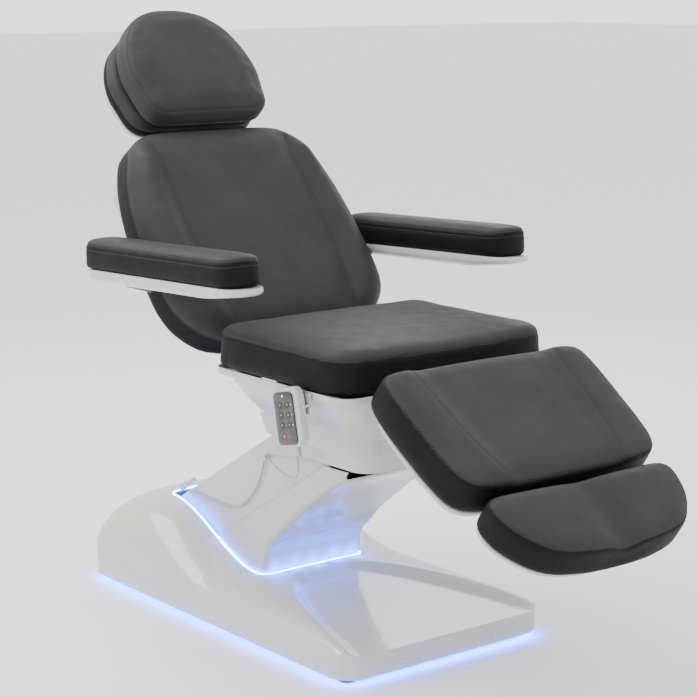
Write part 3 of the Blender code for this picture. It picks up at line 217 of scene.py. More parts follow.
LOOKS = {
    "leather": make_leather(),
    "white_shell": make_white(),
    "painted_steel": make_steel("painted_steel", (0.1, 0.1, 0.11), 0.45, 0.3, 700.0),
    "bright_steel": make_steel("bright_steel", (0.72, 0.72, 0.74), 0.22, 1.0, 900.0),
    "rubber": make_plastic("black_rubber", (0.028, 0.028, 0.03), 0.75, 900.0, 0.0003),
    "motor_plastic": make_plastic("motor_plastic", (0.13, 0.13, 0.14), 0.5, 1200.0, 0.0002),
    "light_strip": make_glow("blue_light", (0.0, 0.12, 1.0), 70.0),
    "black_gloss": make_plastic("black_gloss", (0.01, 0.01, 0.012), 0.12, 60.0, 0.00005, Coat_Weight=0.6,
                                Coat_Roughness=0.04),
    "key_plastic": make_plastic("key_plastic", (0.04, 0.041, 0.046), 0.32, 900.0, 0.00005),
    "red_key": make_plastic("red_key", (0.42, 0.025, 0.035), 0.35, 900.0, 0.00005),
    "cord": make_plastic("grey_cord", (0.42, 0.4, 0.37), 0.45, 1500.0, 0.0001),
}
THREAD = make_plastic("dark_thread", (0.022, 0.022, 0.024), 0.62, 2600.0, 0.0001)
MARKS = make_plastic("pale_print", (0.55, 0.57, 0.6), 0.4, 900.0, 0.00002)
BLUE_DOT = make_glow("blue_lamp", (0.05, 0.3, 1.0), 9.0)


# ---------------------------------------------------------------- mesh helpers
def new_object(name, data):
    obj = bpy.data.objects.new(name, data)
    bpy.context.scene.collection.objects.link(obj)
    return obj


def from_faces(name, points, faces, sharp=40.0):
    """A smooth mesh object from points measured from the base's origin."""
    mesh = bpy.data.meshes.new(name)
    mesh.from_pydata([Vector(p) + BASE for p in points], [], faces)
    return finished(new_object(name, mesh), sharp)


def finished(obj, sharp=40.0):
    bm = bmesh.new()
    bm.from_mesh(obj.data)
    bmesh.ops.remove_doubles(bm, verts=bm.verts, dist=0.000005)
    bmesh.ops.recalc_face_normals(bm, faces=bm.faces)
    bm.to_mesh(obj.data)
    bm.free()
    obj.data.shade_smooth()
    obj.data.set_sharp_from_angle(angle=radians(sharp))
    return obj


def applied(obj, sharp=40.0):
    """The object with its modifiers made part of its mesh."""
    bpy.context.view_layer.update()
    shape = obj.evaluated_get(bpy.context.evaluated_depsgraph_get())
    mesh = bpy.data.meshes.new_from_object(shape)
    mesh.transform(obj.matrix_world)
    name = obj.name
    bpy.data.objects.remove(obj, do_unlink=True)
    mesh.name = name
    return finished(new_object(name, mesh), sharp)


def shaped(obj, kind, sharp=40.0, **settings):
    """The object with one modifier made part of its mesh."""
    step = obj.modifiers.new("step", kind)
    for key, value in settings.items():
        setattr(step, key, value)
    return applied(obj, sharp)


def settle(obj, body, slot, nodes=(), material=None):
    """Gives a piece its finish and its body, and hides the CAD nodes that it stands for."""
    obj.data.materials.clear()
    obj.data.materials.append(material or LOOKS[slot])
    if nodes:
        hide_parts(*nodes)
    if body:
        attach(obj, body)
    return obj


def cut(obj, *tools, sharp=32.0):
    for tool in tools:
        step = obj.modifiers.new("cut", "BOOLEAN")
        step.operation, step.object = "DIFFERENCE", tool
    obj = applied(obj, sharp)
    for tool in tools:
        bpy.data.objects.remove(tool, do_unlink=True)
    return obj


def arc(centre, radius, start, end, steps):
    turns = [radians(start + (end - start) * i / steps) for i in range(steps + 1)]
    return [(centre[0] + radius * cos(t), centre[1] + radius * sin(t)) for t in turns]


def two_radius_box(rear, front, half, rear_radius, front_radius, steps=14):
    return (arc((front - front_radius, half - front_radius), front_radius, 0, 90, steps)
            + arc((rear + rear_radius, half - rear_radius), rear_radius, 90, 180, steps)
            + arc((rear + rear_radius, rear_radius - half), rear_radius, 180, 270, steps)
            + arc((front - front_radius, front_radius - half), front_radius, 270, 360, steps))


def rounded_box(low, high, radius, steps=14):
    (x0, y0), (x1, y1) = low, high
    middle = (y0 + y1) / 2
    return [(x, y + middle) for x, y in two_radius_box(x0, x1, (y1 - y0) / 2, radius, radius, steps)]


def both_sides(half):
    return half + [(-x, y) for x, y in reversed(half) if x > 0.0]


def eased(points, reach, steps=6, closed=True):
    """A polyline with each corner turned into a short curve; the points may have any number of values."""
    points = [np.array(p, float) for p in points]
    count = len(points)
    result = []
    for i, here in enumerate(points):
        if not closed and i in (0, count - 1):
            result.append(here)
            continue
        before, after = points[i - 1], points[(i + 1) % count]
        back, ahead = before - here, after - here
        start = here + back * min(0.5, reach / np.linalg.norm(back))
        end = here + ahead * min(0.5, reach / np.linalg.norm(ahead))
        for k in range(steps + 1):
            t = k / steps
            result.append((1 - t) ** 2 * start + 2 * t * (1 - t) * here + t * t * end)
    return [tuple(float(v) for v in p) for p in result]


def evenly(outline, count):
    """A closed outline as that many evenly spaced points."""
    loop = np.array([*outline, outline[0]], float)
    run = np.concatenate([[0.0], np.cumsum(np.linalg.norm(np.diff(loop, axis=0), axis=1))])
    at = np.linspace(0.0, run[-1], count, endpoint=False)
    return np.stack([np.interp(at, run, loop[:, k]) for k in range(loop.shape[1])], axis=1)


def softened(loop, rounds):
    for _ in range(rounds):
        loop = 0.5 * loop + 0.25 * (np.roll(loop, 1, axis=0) + np.roll(loop, -1, axis=0))
    return loop


def inward(loop):
    """Unit normals pointing into a closed outline."""
    along = np.roll(loop, -1, axis=0) - np.roll(loop, 1, axis=0)
    normal = np.stack([-along[:, 1], along[:, 0]], axis=1)
    normal /= np.linalg.norm(normal, axis=1)[:, None]
    area = np.sum(loop[:, 0] * np.roll(loop[:, 1], -1) - loop[:, 1] * np.roll(loop[:, 0], -1))
    return normal if area > 0 else -normal


def smooth_step(value):
    value = min(1.0, max(0.0, value))
    return value * value * (3.0 - 2.0 * value)


def bell(value, width):
    return exp(-(value / width) ** 2)


def pad_plane(origin, angle, depth=0.0):
    """Outlines drawn as (y, distance up the slope), at a depth under the pad's face."""
    up = Vector((cos(angle), 0.0, sin(angle)))
    face = Vector((sin(angle), 0.0, -cos(angle)))
    columns = Matrix((Vector((0.0, 1.0, 0.0)), up, face)).transposed()
    return Matrix.Translation(origin - face * depth) @ columns.to_4x4()


SIDE_PLANE = Matrix.Rotation(radians(90), 4, "X")      # outlines drawn as (x, z)


def loft(name, rings, wall=0.0, caps=(False, False), sharp=40.0):
    """A surface through rings of equal length, closed at its ends or given a wall."""
    count = len(rings[0])
    points = [p for ring in rings for p in ring]
    faces = []
    for r in range(len(rings) - 1):
        for i in range(count):
            j = (i + 1) % count
            faces.append((r * count + i, r * count + j, (r + 1) * count + j, (r + 1) * count + i))
    for cap, start in zip(caps, (0, (len(rings) - 1) * count)):
        if cap:
            faces.append(tuple(range(start, start + count)))
    obj = from_faces(name, points, faces, sharp)
    if wall:
        obj = shaped(obj, "SOLIDIFY", sharp, thickness=wall, offset=-1.0, use_even_offset=True)
    return obj


def slab(name, outline, thickness, matrix, edge=0.0, holes=(), steps=5):
    """An outline given a thickness about its plane, its rims rounded."""
    curve = bpy.data.curves.new(name, "CURVE")
    curve.dimensions, curve.fill_mode = "2D", "BOTH"
    curve.extrude, curve.bevel_depth = thickness / 2 - edge, edge
    curve.bevel_resolution, curve.offset = steps, -edge
    for points in (outline, *holes):
        spline = curve.splines.new("POLY")
        spline.points.add(len(points) - 1)
        for knot, (x, y) in zip(spline.points, points):
            knot.co = (x, y, 0.0, 1.0)
        spline.use_cyclic_u = True
    obj = new_object(name, curve)
    obj.matrix_world = SHIFT @ matrix
    return applied(obj)


def turned(name, profile, place, direction, steps=48):
    """A profile of (radius, height) turned about direction."""
    turn = Vector(direction).to_track_quat("Z", "Y").to_matrix()
    rings = []
    for radius, height in profile:
        radius = max(radius, 0.00001)
        rings.append([Vector(place) + turn @ Vector((radius * cos(a), radius * sin(a), height))
                      for a in (2 * pi * i / steps for i in range(steps))])
    return loft(name, rings, caps=(True, True), sharp=38.0)


def box_tool(name, low, high):
    (x0, y0, z0), (x1, y1, z1) = low, high
    lower, upper = ([(x0, y0, z), (x1, y0, z), (x1, y1, z), (x0, y1, z)] for z in (z0, z1))
    return loft(name, [lower, upper], caps=(True, True))


def sweep(name, points, radius, sides=12, closed=False):
    """A tube along points, its cross-section carried without twist."""
    path = [Vector(p) for p in points]
    count = len(path)
    normal = Vector((0.0, 0.0, 1.0))
    rings = []
    for i, here in enumerate(path):
        before = path[i - 1] if closed or i else here
        after = path[(i + 1) % count] if closed or i < count - 1 else here
        along = (after - before).normalized()
        normal = normal - along * normal.dot(along)
        if normal.length < 0.05:
            normal = along.orthogonal()
        normal.normalize()
        across = along.cross(normal)
        rings.append([here + (normal * cos(a) + across * sin(a)) * radius
                      for a in (2 * pi * k / sides for k in range(sides))])
    if closed:
        rings.append(rings[0])
    return loft(name, rings, caps=(not closed, not closed), sharp=70.0)


def smooth_route(route, steps):
    """Points along a smooth curve through the route's own points."""
    points = [Vector(p) for p in route]
    ends = [points[0] * 2 - points[1]] + points + [points[-1] * 2 - points[-2]]
    result = []
    for before, start, end, after in zip(ends, ends[1:], ends[2:], ends[3:]):
        first = end - before
        second = 2 * before - 5 * start + 4 * end - after
        third = 3 * start - before - 3 * end + after
        for i in range(steps):
            t = i / steps
            result.append(0.5 * (2 * start + first * t + second * t * t + third * t ** 3))
    return result + [points[-1]]


# ---------------------------------------------------------------- camera, floor, lights
AMBIENT, BACKDROP = 1.6, 2.1                # the white surroundings, as light and as seen


def make_stage():
    camera = bpy.data.cameras.new("camera")
    camera.lens, camera.sensor_width = 101.8, 36.0
    view = new_object("camera", camera)
    view.location = Vector((3.698, -2.806, 1.54)) + BASE
    view.rotation_euler = (radians(79.13), 0.0, radians(51.8))
    bpy.context.scene.camera = view

    mesh = bpy.data.meshes.new("floor")
    mesh.from_pydata([(-40, -40, 0), (40, -40, 0), (40, 40, 0), (-40, 40, 0)], [], [(0, 1, 2, 3)])
    floor = new_object("floor", mesh)
    floor.location.z = -0.0005
    pale = Shader("pale_floor", (0.93, 0.93, 0.935), 0.6, Specular_IOR_Level=0.2)
    pale.rough(pale.noise(3.0), 0.55, 0.65)
    mesh.materials.append(pale.material)

    world = bpy.data.worlds.new("studio")
    world.use_nodes = True
    nodes, links = world.node_tree.nodes, world.node_tree.links
    seen = nodes.new("ShaderNodeMapRange")
    seen.inputs["To Min"].default_value, seen.inputs["To Max"].default_value = AMBIENT, BACKDROP
    links.new(nodes.new("ShaderNodeLightPath").outputs["Is Camera Ray"], seen.inputs["Value"])
    links.new(seen.outputs["Result"], nodes["Background"].inputs["Strength"])
    nodes["Background"].inputs["Color"].default_value = (1.0, 1.0, 1.0, 1.0)
    bpy.context.scene.world = world

    for name, place, target, size, power, colour in (
            ("key", (-1.6, -1.2, 3.6), (0.1, 0.0, 0.5), 2.4, 130.0, (1.0, 0.99, 0.97)),
            ("rim", (-2.2, 3.0, 2.6), (0.0, 0.0, 0.7), 2.0, 30.0, (1.0, 1.0, 1.0))):
        light = bpy.data.lights.new(name, "AREA")
        light.shape, light.size, light.energy, light.color = "SQUARE", size, power, colour
        lamp = new_object(name, light)
        lamp.location = place
        lamp.rotation_euler = (Vector(target) - Vector(place)).to_track_quat("-Z", "Y").to_euler()


def glow_light(name, place, power):
    """A small blue lamp for a light strip's glow."""
    light = bpy.data.lights.new(name, "POINT")
    light.energy, light.color, light.shadow_soft_size = power, (0.0, 0.14, 1.0), 0.014
    lamp = new_object(name, light)
    lamp.location = Vector(place) + BASE
    lamp.visible_glossy = False


# ---------------------------------------------------------------- cord
UPPER_ROUTE = [(0.3693, -0.328, 0.503), (0.371, -0.327, 0.488), (0.366, -0.323, 0.47), (0.345, -0.313, 0.452),
               (0.31, -0.296, 0.44), (0.264, -0.274, 0.43), (0.212, -0.249, 0.422), (0.16, -0.224, 0.416),
               (0.11, -0.2, 0.412), (0.066, -0.179, 0.41), (0.037, -0.163, 0.409), (0.017, -0.151, 0.4085)]
LOWER_ROUTE = [(0.009, -0.1465, 0.4075), (0.003, -0.1455, 0.4092), (-0.0032, -0.1455, 0.4055),
               (-0.0062, -0.1455, 0.397), (-0.012, -0.1458, 0.379), (-0.023, -0.146, 0.348),
               (-0.045, -0.146, 0.313), (-0.072, -0.146, 0.286), (-0.095, -0.146, 0.267),
               (-0.12, -0.146, 0.254), (-0.15, -0.146, 0.247), (-0.185, -0.146, 0.246),
               (-0.225, -0.146, 0.248), (-0.265, -0.146, 0.25), (-0.3, -0.1465, 0.251),
               (-0.327, -0.148, 0.25)]
CORD_RADIUS = 0.0023


def make_cord():
    route = smooth_route(UPPER_ROUTE + LOWER_ROUTE, 6)
    cord = sweep("handset_cord", route, CORD_RADIUS, 16)
    settle(cord, None, "cord", ("cord_upper", "cord_lower"))
    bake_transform(cord)


# ---------------------------------------------------------------- moulded covers
def base_height(x, y):
    """Height of the moulded base: a hump behind the column, two shoulders and a scoop between them."""
    across = min(1.0, abs(y) / BASE_HALF)
    ridge = SHOULDER_HEIGHT + (HUMP_HEIGHT - SHOULDER_HEIGHT) * (
        1.0 - smooth_step((x - HUMP_FRONT) / (HUMP_FOOT - HUMP_FRONT)))
    side = (1.0 - across ** 4) ** (1 / 3)
    rear_run, front_run = 0.27, 0.1
    rear = min(1.0, max(0.0, (BASE_REAR + rear_run - x) / rear_run))
    front = min(1.0, max(0.0, (x - BASE_FRONT + front_run) / front_run))
    ends = (1.0 - rear ** 6) ** (1 / 3) * (1.0 - front ** 4) ** (1 / 3)
    height = BASE_WALL + (ridge - BASE_WALL) * side * ends
    # The scoop's floor slopes down and widens towards the front.
    floor = 0.098 - 0.06 * x
    half_floor = 0.24 * sqrt(max(0.0, (x - 0.02) / 0.45))
    inside = 1.0 - smooth_step((abs(y) - half_floor) / 0.055)
    inside *= smooth_step((x - 0.01) / 0.06)
    if floor < height:
        height += (floor - height) * inside
    return height


def make_base_cover():
    lip = 0.004                             # the radius of the cover's lower rim
    plan = evenly(two_radius_box(BASE_REAR, BASE_FRONT, BASE_HALF, 0.045, 0.058), 300)
    middle = np.array([(BASE_REAR + BASE_FRONT) / 2, 0.0])
    rings = []
    for i in range(1, 61):
        spread = 1.0 - (1.0 - i / 60) ** 1.9
        ring = middle + (plan - middle) * spread
        rings.append([(x, y, base_height(x, y)) for x, y in ring])
    rings.append([(x, y, BASE_WALL - lip) for x, y in plan])
    rings.append([(x, y, BASE_FLOOR + lip) for x, y in plan])
    normals = inward(plan)
    for turn in (radians(30), radians(60), radians(90)):
        drop, inset = lip * sin(turn), lip * (1 - cos(turn))
        rings.append([(x, y, BASE_FLOOR + lip - drop) for x, y in plan + normals * inset])
    cover = loft("base_cover_skin", rings, wall=SHELL)
    well = slab("well_tool", rounded_box((WELL_REAR, -WELL_HALF), (WELL_FRONT, WELL_HALF), 0.03), 0.6,
                Matrix.Translation((0.0, 0.0, 0.2)))
    inlet = box_tool("inlet_tool", (BASE_REAR - 0.03, -0.016, 0.02), (BASE_REAR + 0.02, 0.016, 0.044))
    settle(cut(cover, well, inlet), "base", "white_shell", ("base_cover",))


def make_column_light():
    """A light tube in the gap round the column, and lamps for its glow on the shells."""
    inset = 0.0042
    rear, front, half = WELL_REAR + inset, WELL_FRONT - inset, WELL_HALF - inset
    loop = evenly(rounded_box((rear, -half), (front, half), 0.026), 240)
    route = [(x, y, base_height(x, y) - 0.001) for x, y in loop]
    light = sweep("column_light_tube", route, 0.0024, 12, closed=True)
    settle(light, "base", "light_strip", ("column_light",)).visible_glossy = False
    for y in (-0.12, -0.06, 0.0, 0.06, 0.12):
        glow_light(f"front_glow_{y}", (0.016, y, base_height(0.016, y) + 0.014), 0.22)
    for x in (-0.34, -0.26, -0.18, -0.1, -0.02):
        for side in (-1, 1):
            y = side * 0.168
            glow_light(f"side_glow_{x}_{side}", (x, y, base_height(x, y) + 0.012), 0.035)


def make_base_fittings():
    dome = [(0.0, 0.0041), (0.003, 0.004), (0.0058, 0.0034), (0.0075, 0.0022), (0.0084, 0.0008),
            (0.0085, 0.0)]
    for y, side in ((0.135, "left"), (-0.135, "right")):
        cap = turned(f"screw_cap_{side}_dome", dome, (BASE_FRONT + 0.0003, y, 0.033), (1, 0, 0))
        settle(cap, "base", "white_shell", (f"screw_cap_{side}",))
    pad = [(0.0, 0.0177), (0.0168, 0.0177), (0.0175, 0.017), (0.019, 0.011), (0.02, 0.0095), (0.02, 0.0016),
           (0.0184, 0.0), (0.012, 0.0), (0.011, 0.001), (0.0, 0.001)]
    for x, end in ((BASE_FRONT - 0.055, "front"), (BASE_REAR + 0.055, "rear")):
        for y, side in ((0.25, "left"), (-0.25, "right")):
            foot = turned(f"foot_{end}_{side}_pad", pad, (x, y, 0.0), (0, 0, 1))
            settle(foot, "base", "rubber", (f"foot_{end}_{side}",))
    for y, z in ((0.0, 0.036), (-0.006, 0.03), (0.006, 0.03)):
        blade = box_tool(f"inlet_blade_{round(y * 1000)}", (BASE_REAR + 0.002, y - 0.0008, z - 0.0022),
                         (BASE_REAR + 0.0182, y + 0.0008, z + 0.0022))
        settle(blade, "base", "bright_steel")


def cover_point(along, depth):
    """A point beside the column's upper skin: along the arm, and square to it towards the foot end."""
    return (COVER_TOP.x + along * cos(COVER_SLOPE) + depth * sin(COVER_SLOPE),
            COVER_TOP.z + along * sin(COVER_SLOPE) - depth * cos(COVER_SLOPE))


def make_rear_cover():
    side = eased([cover_point(*p) for p in (
        (-0.13, 0.0), (0.44, 0.0), (0.5, 0.03), (0.535, 0.08), (0.54, 0.14), (0.525, 0.16), (0.1, 0.178),
        (0.03, 0.19), (-0.08, 0.14), (-0.12, 0.06))], 0.02)
    outer = slab("rear_arm_skin", side, 2 * REAR_COVER_HALF, SIDE_PLANE, 0.01, steps=6)
    hollow = slab("rear_hollow", eased([cover_point(*p) for p in (
        (-0.16, SHELL), (0.438, SHELL), (0.497, 0.034), (0.56, 0.08), (0.56, 0.2), (0.0, 0.26),
        (-0.16, 0.2))], 0.012), 2 * (REAR_COVER_HALF - SHELL), SIDE_PLANE, 0.006, steps=5)
    under = slab("rear_under", [cover_point(*p) for p in (
        (0.6, 0.156), (0.6, 0.3), (-0.2, 0.3), (-0.2, 0.176))], 0.4, SIDE_PLANE)
    end = slab("rear_end", [cover_point(*p) for p in (
        (0.395, -0.05), (0.65, -0.05), (0.65, 0.25), (0.395, 0.25))], 0.253, SIDE_PLANE)
    settle(cut(outer, hollow, under, end), "rear_arm", "white_shell", ("rear_arm_cover",))


FRONT_SKIN = [(0.012, 0.184), (0.038, 0.206), (0.078, 0.247), (0.155, 0.306), (0.228, 0.36), (0.3, 0.402)]


def make_front_cover():
    skirt = arc((PIVOT_B.x, PIVOT_B.z), SKIRT_RADIUS, -36, -2, 24)
    skin = [(p.x, p.z) for p in smooth_route([(x, 0.0, z) for x, z in FRONT_SKIN], 8)]
    side = [(0.362, 0.47), (0.215, 0.47), (-0.235, 0.195), (-0.235, 0.09), (-0.1, 0.06)] + skirt + skin
    outer = slab("front_arm_skin", side, 2 * FRONT_COVER_HALF, SIDE_PLANE, 0.014, steps=8)
    inner = ([(0.4, 0.452), (0.4, 0.6), (-0.35, 0.6), (-0.35, 0.0)]
             + arc((PIVOT_B.x, PIVOT_B.z), SKIRT_RADIUS - SHELL, -60, -2, 32)
             + [(x - 0.0025, z + 0.0035) for x, z in skin])
    hollow = slab("front_hollow", inner, 2 * (FRONT_COVER_HALF - SHELL), SIDE_PLANE, 0.01, steps=6)
    above = slab("front_above", [(0.42, 0.43), (0.362, 0.43), (0.235, 0.429), (-0.26, 0.1247), (-0.26, 0.6),
                                 (0.42, 0.6)], 0.4, SIDE_PLANE)
    below = slab("front_below", [(-0.3, 0.0), (-0.045, 0.0), (-0.15, 0.066), (-0.206, 0.07), (-0.206, 0.3),
                                 (-0.3, 0.3)], 0.4, SIDE_PLANE)
    settle(cut(outer, hollow, above, below), "front_arm", "white_shell", ("front_arm_cover",))


def make_cable_guides():
    """The socket that takes the handset's cord, and the clip that holds the cord on the way."""
    slope = Vector((cos(COVER_SLOPE), 0.0, sin(COVER_SLOPE)))
    socket = turned("cable_socket_cone", [
        (0.0, 0.0675), (0.0026, 0.067), (0.004, 0.0655), (0.0054, 0.05), (0.007, 0.033), (0.0085, 0.017),
        (0.0094, 0.005), (0.0096, 0.003), (0.0094, 0.0008), (0.0088, 0.0), (0.0078, 0.0), (0.0072, 0.0008),
        (0.0072, 0.016), (0.0, 0.016)], (-0.3523, -0.153, 0.2573), slope)
    settle(socket, "rear_arm", "white_shell", ("cable_socket",))
    clip = turned("cord_clip_button", [
        (0.0, 0.0146), (0.004, 0.0145), (0.006, 0.0139), (0.0066, 0.0128), (0.0065, 0.0116), (0.0034, 0.0106),
        (0.0032, 0.01), (0.0032, 0.0)], (0.003, -REAR_COVER_HALF - 0.0003, 0.402), (0, -1, 0))
    settle(clip, "rear_arm", "white_shell", ("cord_clip",))


def ring_loft(name, profile, wall, caps=(False, False)):
    """A loft through rounded rectangles, each (x0, x1, half, z, radius), with eased steps between them."""
    rings = []
    for x0, x1, half, z, radius in eased(profile, 0.006, 5, closed=False):
        rings.append([(x, y, z) for x, y in rounded_box((x0, -half), (x1, half), radius, 16)])
    return loft(name, rings, wall=wall, caps=caps, sharp=32.0)


def make_carrier_cover():
    collar = ring_loft("carrier_cover_skin", [
        (-0.02, 0.428, 0.196, PAN_BOTTOM - 0.0003, 0.06), (-0.02, 0.428, 0.196, 0.486, 0.06),
        (-0.02, 0.42, 0.188, 0.479, 0.055), (-0.02, 0.405, 0.17, 0.476, 0.05),
        (-0.02, 0.402, 0.166, 0.47, 0.05), (-0.02, 0.396, 0.162, 0.44, 0.048)], 0.003)
    open_rear = slab("collar_tool", [(-0.2, 0.6), (-0.2, 0.3), (0.15, 0.3), (0.1, 0.44), (0.03, 0.56),
                                     (0.028, 0.6)], 0.6, SIDE_PLANE)
    settle(cut(collar, open_rear), "seat", "white_shell", ("carrier_cover",))


def make_seat_pan():
    pan = ring_loft("seat_pan_skin", [
        (0.006, 0.505, 0.306, 0.648, 0.045), (0.006, 0.505, 0.306, 0.633, 0.045),
        (0.012, 0.5, 0.3, 0.629, 0.045), (0.026, 0.49, 0.286, 0.627, 0.045), (0.03, 0.485, 0.28, 0.615, 0.05),
        (0.04, 0.474, 0.258, 0.58, 0.055), (0.052, 0.456, 0.228, 0.545, 0.06),
        (0.06, 0.446, 0.21, PAN_BOTTOM, 0.06)], SHELL, (False, True))
    tools = [box_tool("carrier_tool", (0.07, -0.13, 0.45), (0.31, 0.13, 0.56))]
    for side in (-1, 1):
        near, far = sorted((side * 0.141, side * 0.182))
        tools.append(box_tool(f"rear_notch_{side}", (-0.05, near, 0.57), (0.06, far, 0.7)))
        tools.append(box_tool(f"front_notch_{side}", (0.44, near, 0.57), (0.56, far, 0.7)))
    tools.append(box_tool("rear_lever_tool", (-0.05, 0.02, 0.5), (0.095, 0.08, 0.7)))
    tools.append(box_tool("front_lever_tool", (0.415, -0.08, 0.5), (0.56, -0.02, 0.7)))
    settle(cut(pan, *tools), "seat", "white_shell", ("seat_pan",))


def make_back_shell():
    plane = pad_plane(*BACK)
    profile = [(0.256, 0.045, 0.578, 0.1195, 0.09), (0.262, 0.038, 0.584, 0.131, 0.09),
               (0.264, 0.056, 0.584, 0.15, 0.09), (0.258, 0.085, 0.574, 0.172, 0.09),
               (0.235, 0.12, 0.55, 0.186, 0.08), (0.15, 0.2, 0.48, 0.192, 0.07)]
    rings = []
    for half, low, high, depth, corner in eased(profile, 0.012, 6, closed=False):
        ring = rounded_box((-half, low), (half, high), corner, 16)
        rings.append([plane @ Vector((y, up, -depth)) for y, up in ring])
    shell = loft("back_shell_skin", rings, wall=0.003, caps=(False, True), sharp=32.0)
    tools = [bar_tool("post_slot", plane, (0.0, 0.58, -POST_DEPTH), (0.095, 0.04, 0.018))]
    for side in (-1, 1):
        bracket = (side * 0.25, 0.25, -0.1435)
        tools.append(bar_tool(f"bracket_slot_{side}", plane, bracket, (0.025, 0.016, 0.024)))
        tools.append(bar_tool(f"ear_slot_{side}", plane, (side * 0.152, 0.045, -0.135), (0.01, 0.065, 0.03)))
    settle(cut(shell, *tools), "backrest", "white_shell", ("back_shell",))


def make_head_shell():
    plane = pad_plane(*BACK)
    rings = []
    for grow, depth in eased([(0.0, 0.106), (0.004, 0.112), (0.002, 0.122), (-0.012, 0.13), (-0.05, 0.134)],
                             0.004, 5, closed=False):
        outline = evenly(head_outline(0.19 + grow, 0.645 - grow, 0.93 + grow), 160)
        rings.append([plane @ Vector((y, up, -depth)) for y, up in softened(outline, 3)])
    tray = loft("head_shell_skin", rings, wall=0.003, caps=(False, True), sharp=32.0)
    room = bar_tool("head_bar_tool", plane, (0.0, 0.672, -POST_DEPTH), (0.088, 0.042, 0.06))
    settle(cut(tray, room), "headrest", "white_shell", ("head_shell",))
    for y in (-0.098, 0.098):
        start, end = (plane @ Vector((y + side * 0.008, 0.7, -POST_DEPTH)) for side in (-1, 1))
        knuckle = turned(f"head_knuckle_{'left' if y > 0 else 'right'}", [
            (0.0097, 0.0), (0.0138, 0.0), (0.015, 0.0012), (0.015, 0.0148), (0.0138, 0.016), (0.0097, 0.016)],
            start, end - start)
        settle(knuckle, "headrest", "white_shell")


def bar_tool(name, plane, middle, half):
    """A bar set square to a pad's plane."""
    bar = box_tool(name, tuple(-h for h in half), half)
    bar.data.transform(SHIFT @ plane @ Matrix.Translation(middle) @ SHIFT.inverted())
    return bar


def head_outline(half, low, high):
    """A flat lower edge with round corners under a tall round top."""
    corner, waist = 0.055, low + 0.37 * (high - low)
    right = arc((half - corner - 0.012, low + corner), corner, -90, -10, 12) + [(half, waist)]
    top = []
    for i in range(1, 24):
        turn = radians(90) * i / 24
        top.append((half * cos(turn) ** 0.86, waist + (high - waist) * sin(turn)))
    return both_sides(right + top + [(0.0, high)])


LEG_SHELL = [(0.0, -0.228), (0.18, -0.226), (0.262, -0.205), (0.284, -0.13), (0.288, 0.0), (0.276, 0.06),
             (0.22, 0.082), (0.0, 0.082)]
FOOT_SHELL = [(0.0, -0.43), (0.12, -0.424), (0.195, -0.396), (0.244, -0.335), (0.252, -0.285),
              (0.228, -0.256), (0.12, -0.254), (0.0, -0.254)]


def curved(half):
    """A smooth closed outline through a right half and its mirror image."""
    outline, steps = both_sides(half), 8
    route = smooth_route([(x, y, 0.0) for x, y in outline + outline[:3]], steps)
    return evenly([(p.x, p.y) for p in route[steps:steps * (len(outline) + 1)]], 200)


def make_leg_shells():
    for name, half, thickness, depth, edge, body, node in (
            ("leg_shell_rim", LEG_SHELL, 0.012, 0.0965, 0.0045, "leg_rest", "leg_shell"),
            ("foot_shell_rim", FOOT_SHELL, 0.009, 0.0868, 0.0035, "foot_rest", "foot_shell")):
        rim = slab(name, [tuple(p) for p in curved(half)], thickness, pad_plane(*LEG, depth), edge, steps=6)
        settle(rim, body, "white_shell", (node,))


# ---------------------------------------------------------------- cushions
SMOOTH = 180.0                              # no edge of a pad is sharp
TOP_SEAM, STITCH_LENGTH, STITCH_PITCH = 0.0011, 0.003, 0.0052
SIDE_SHADE_EDGE = 0.0025                          # over which the painted shade of the side band sets in
WRINKLE = 0.16                              # the share of the simulated wrinkles that a tight cover keeps


def averaged(mesh, values, rounds):
    """Values of a mesh's points, each mixed with its neighbours' that many times."""
    ends = np.zeros(2 * len(mesh.edges), np.int64)
    mesh.edges.foreach_get("vertices", ends)
    count = len(mesh.vertices)
    pairs = ((ends[0::2], ends[1::2]), (ends[1::2], ends[0::2]))
    around = np.maximum(1, sum(np.bincount(a, minlength=count) for a, _ in pairs))[:, None]
    for _ in range(rounds):
        totals = [sum(np.bincount(a, column[b], count) for a, b in pairs) for column in values.T]
        values = 0.5 * values + 0.5 * np.stack(totals, axis=1) / around
    return values


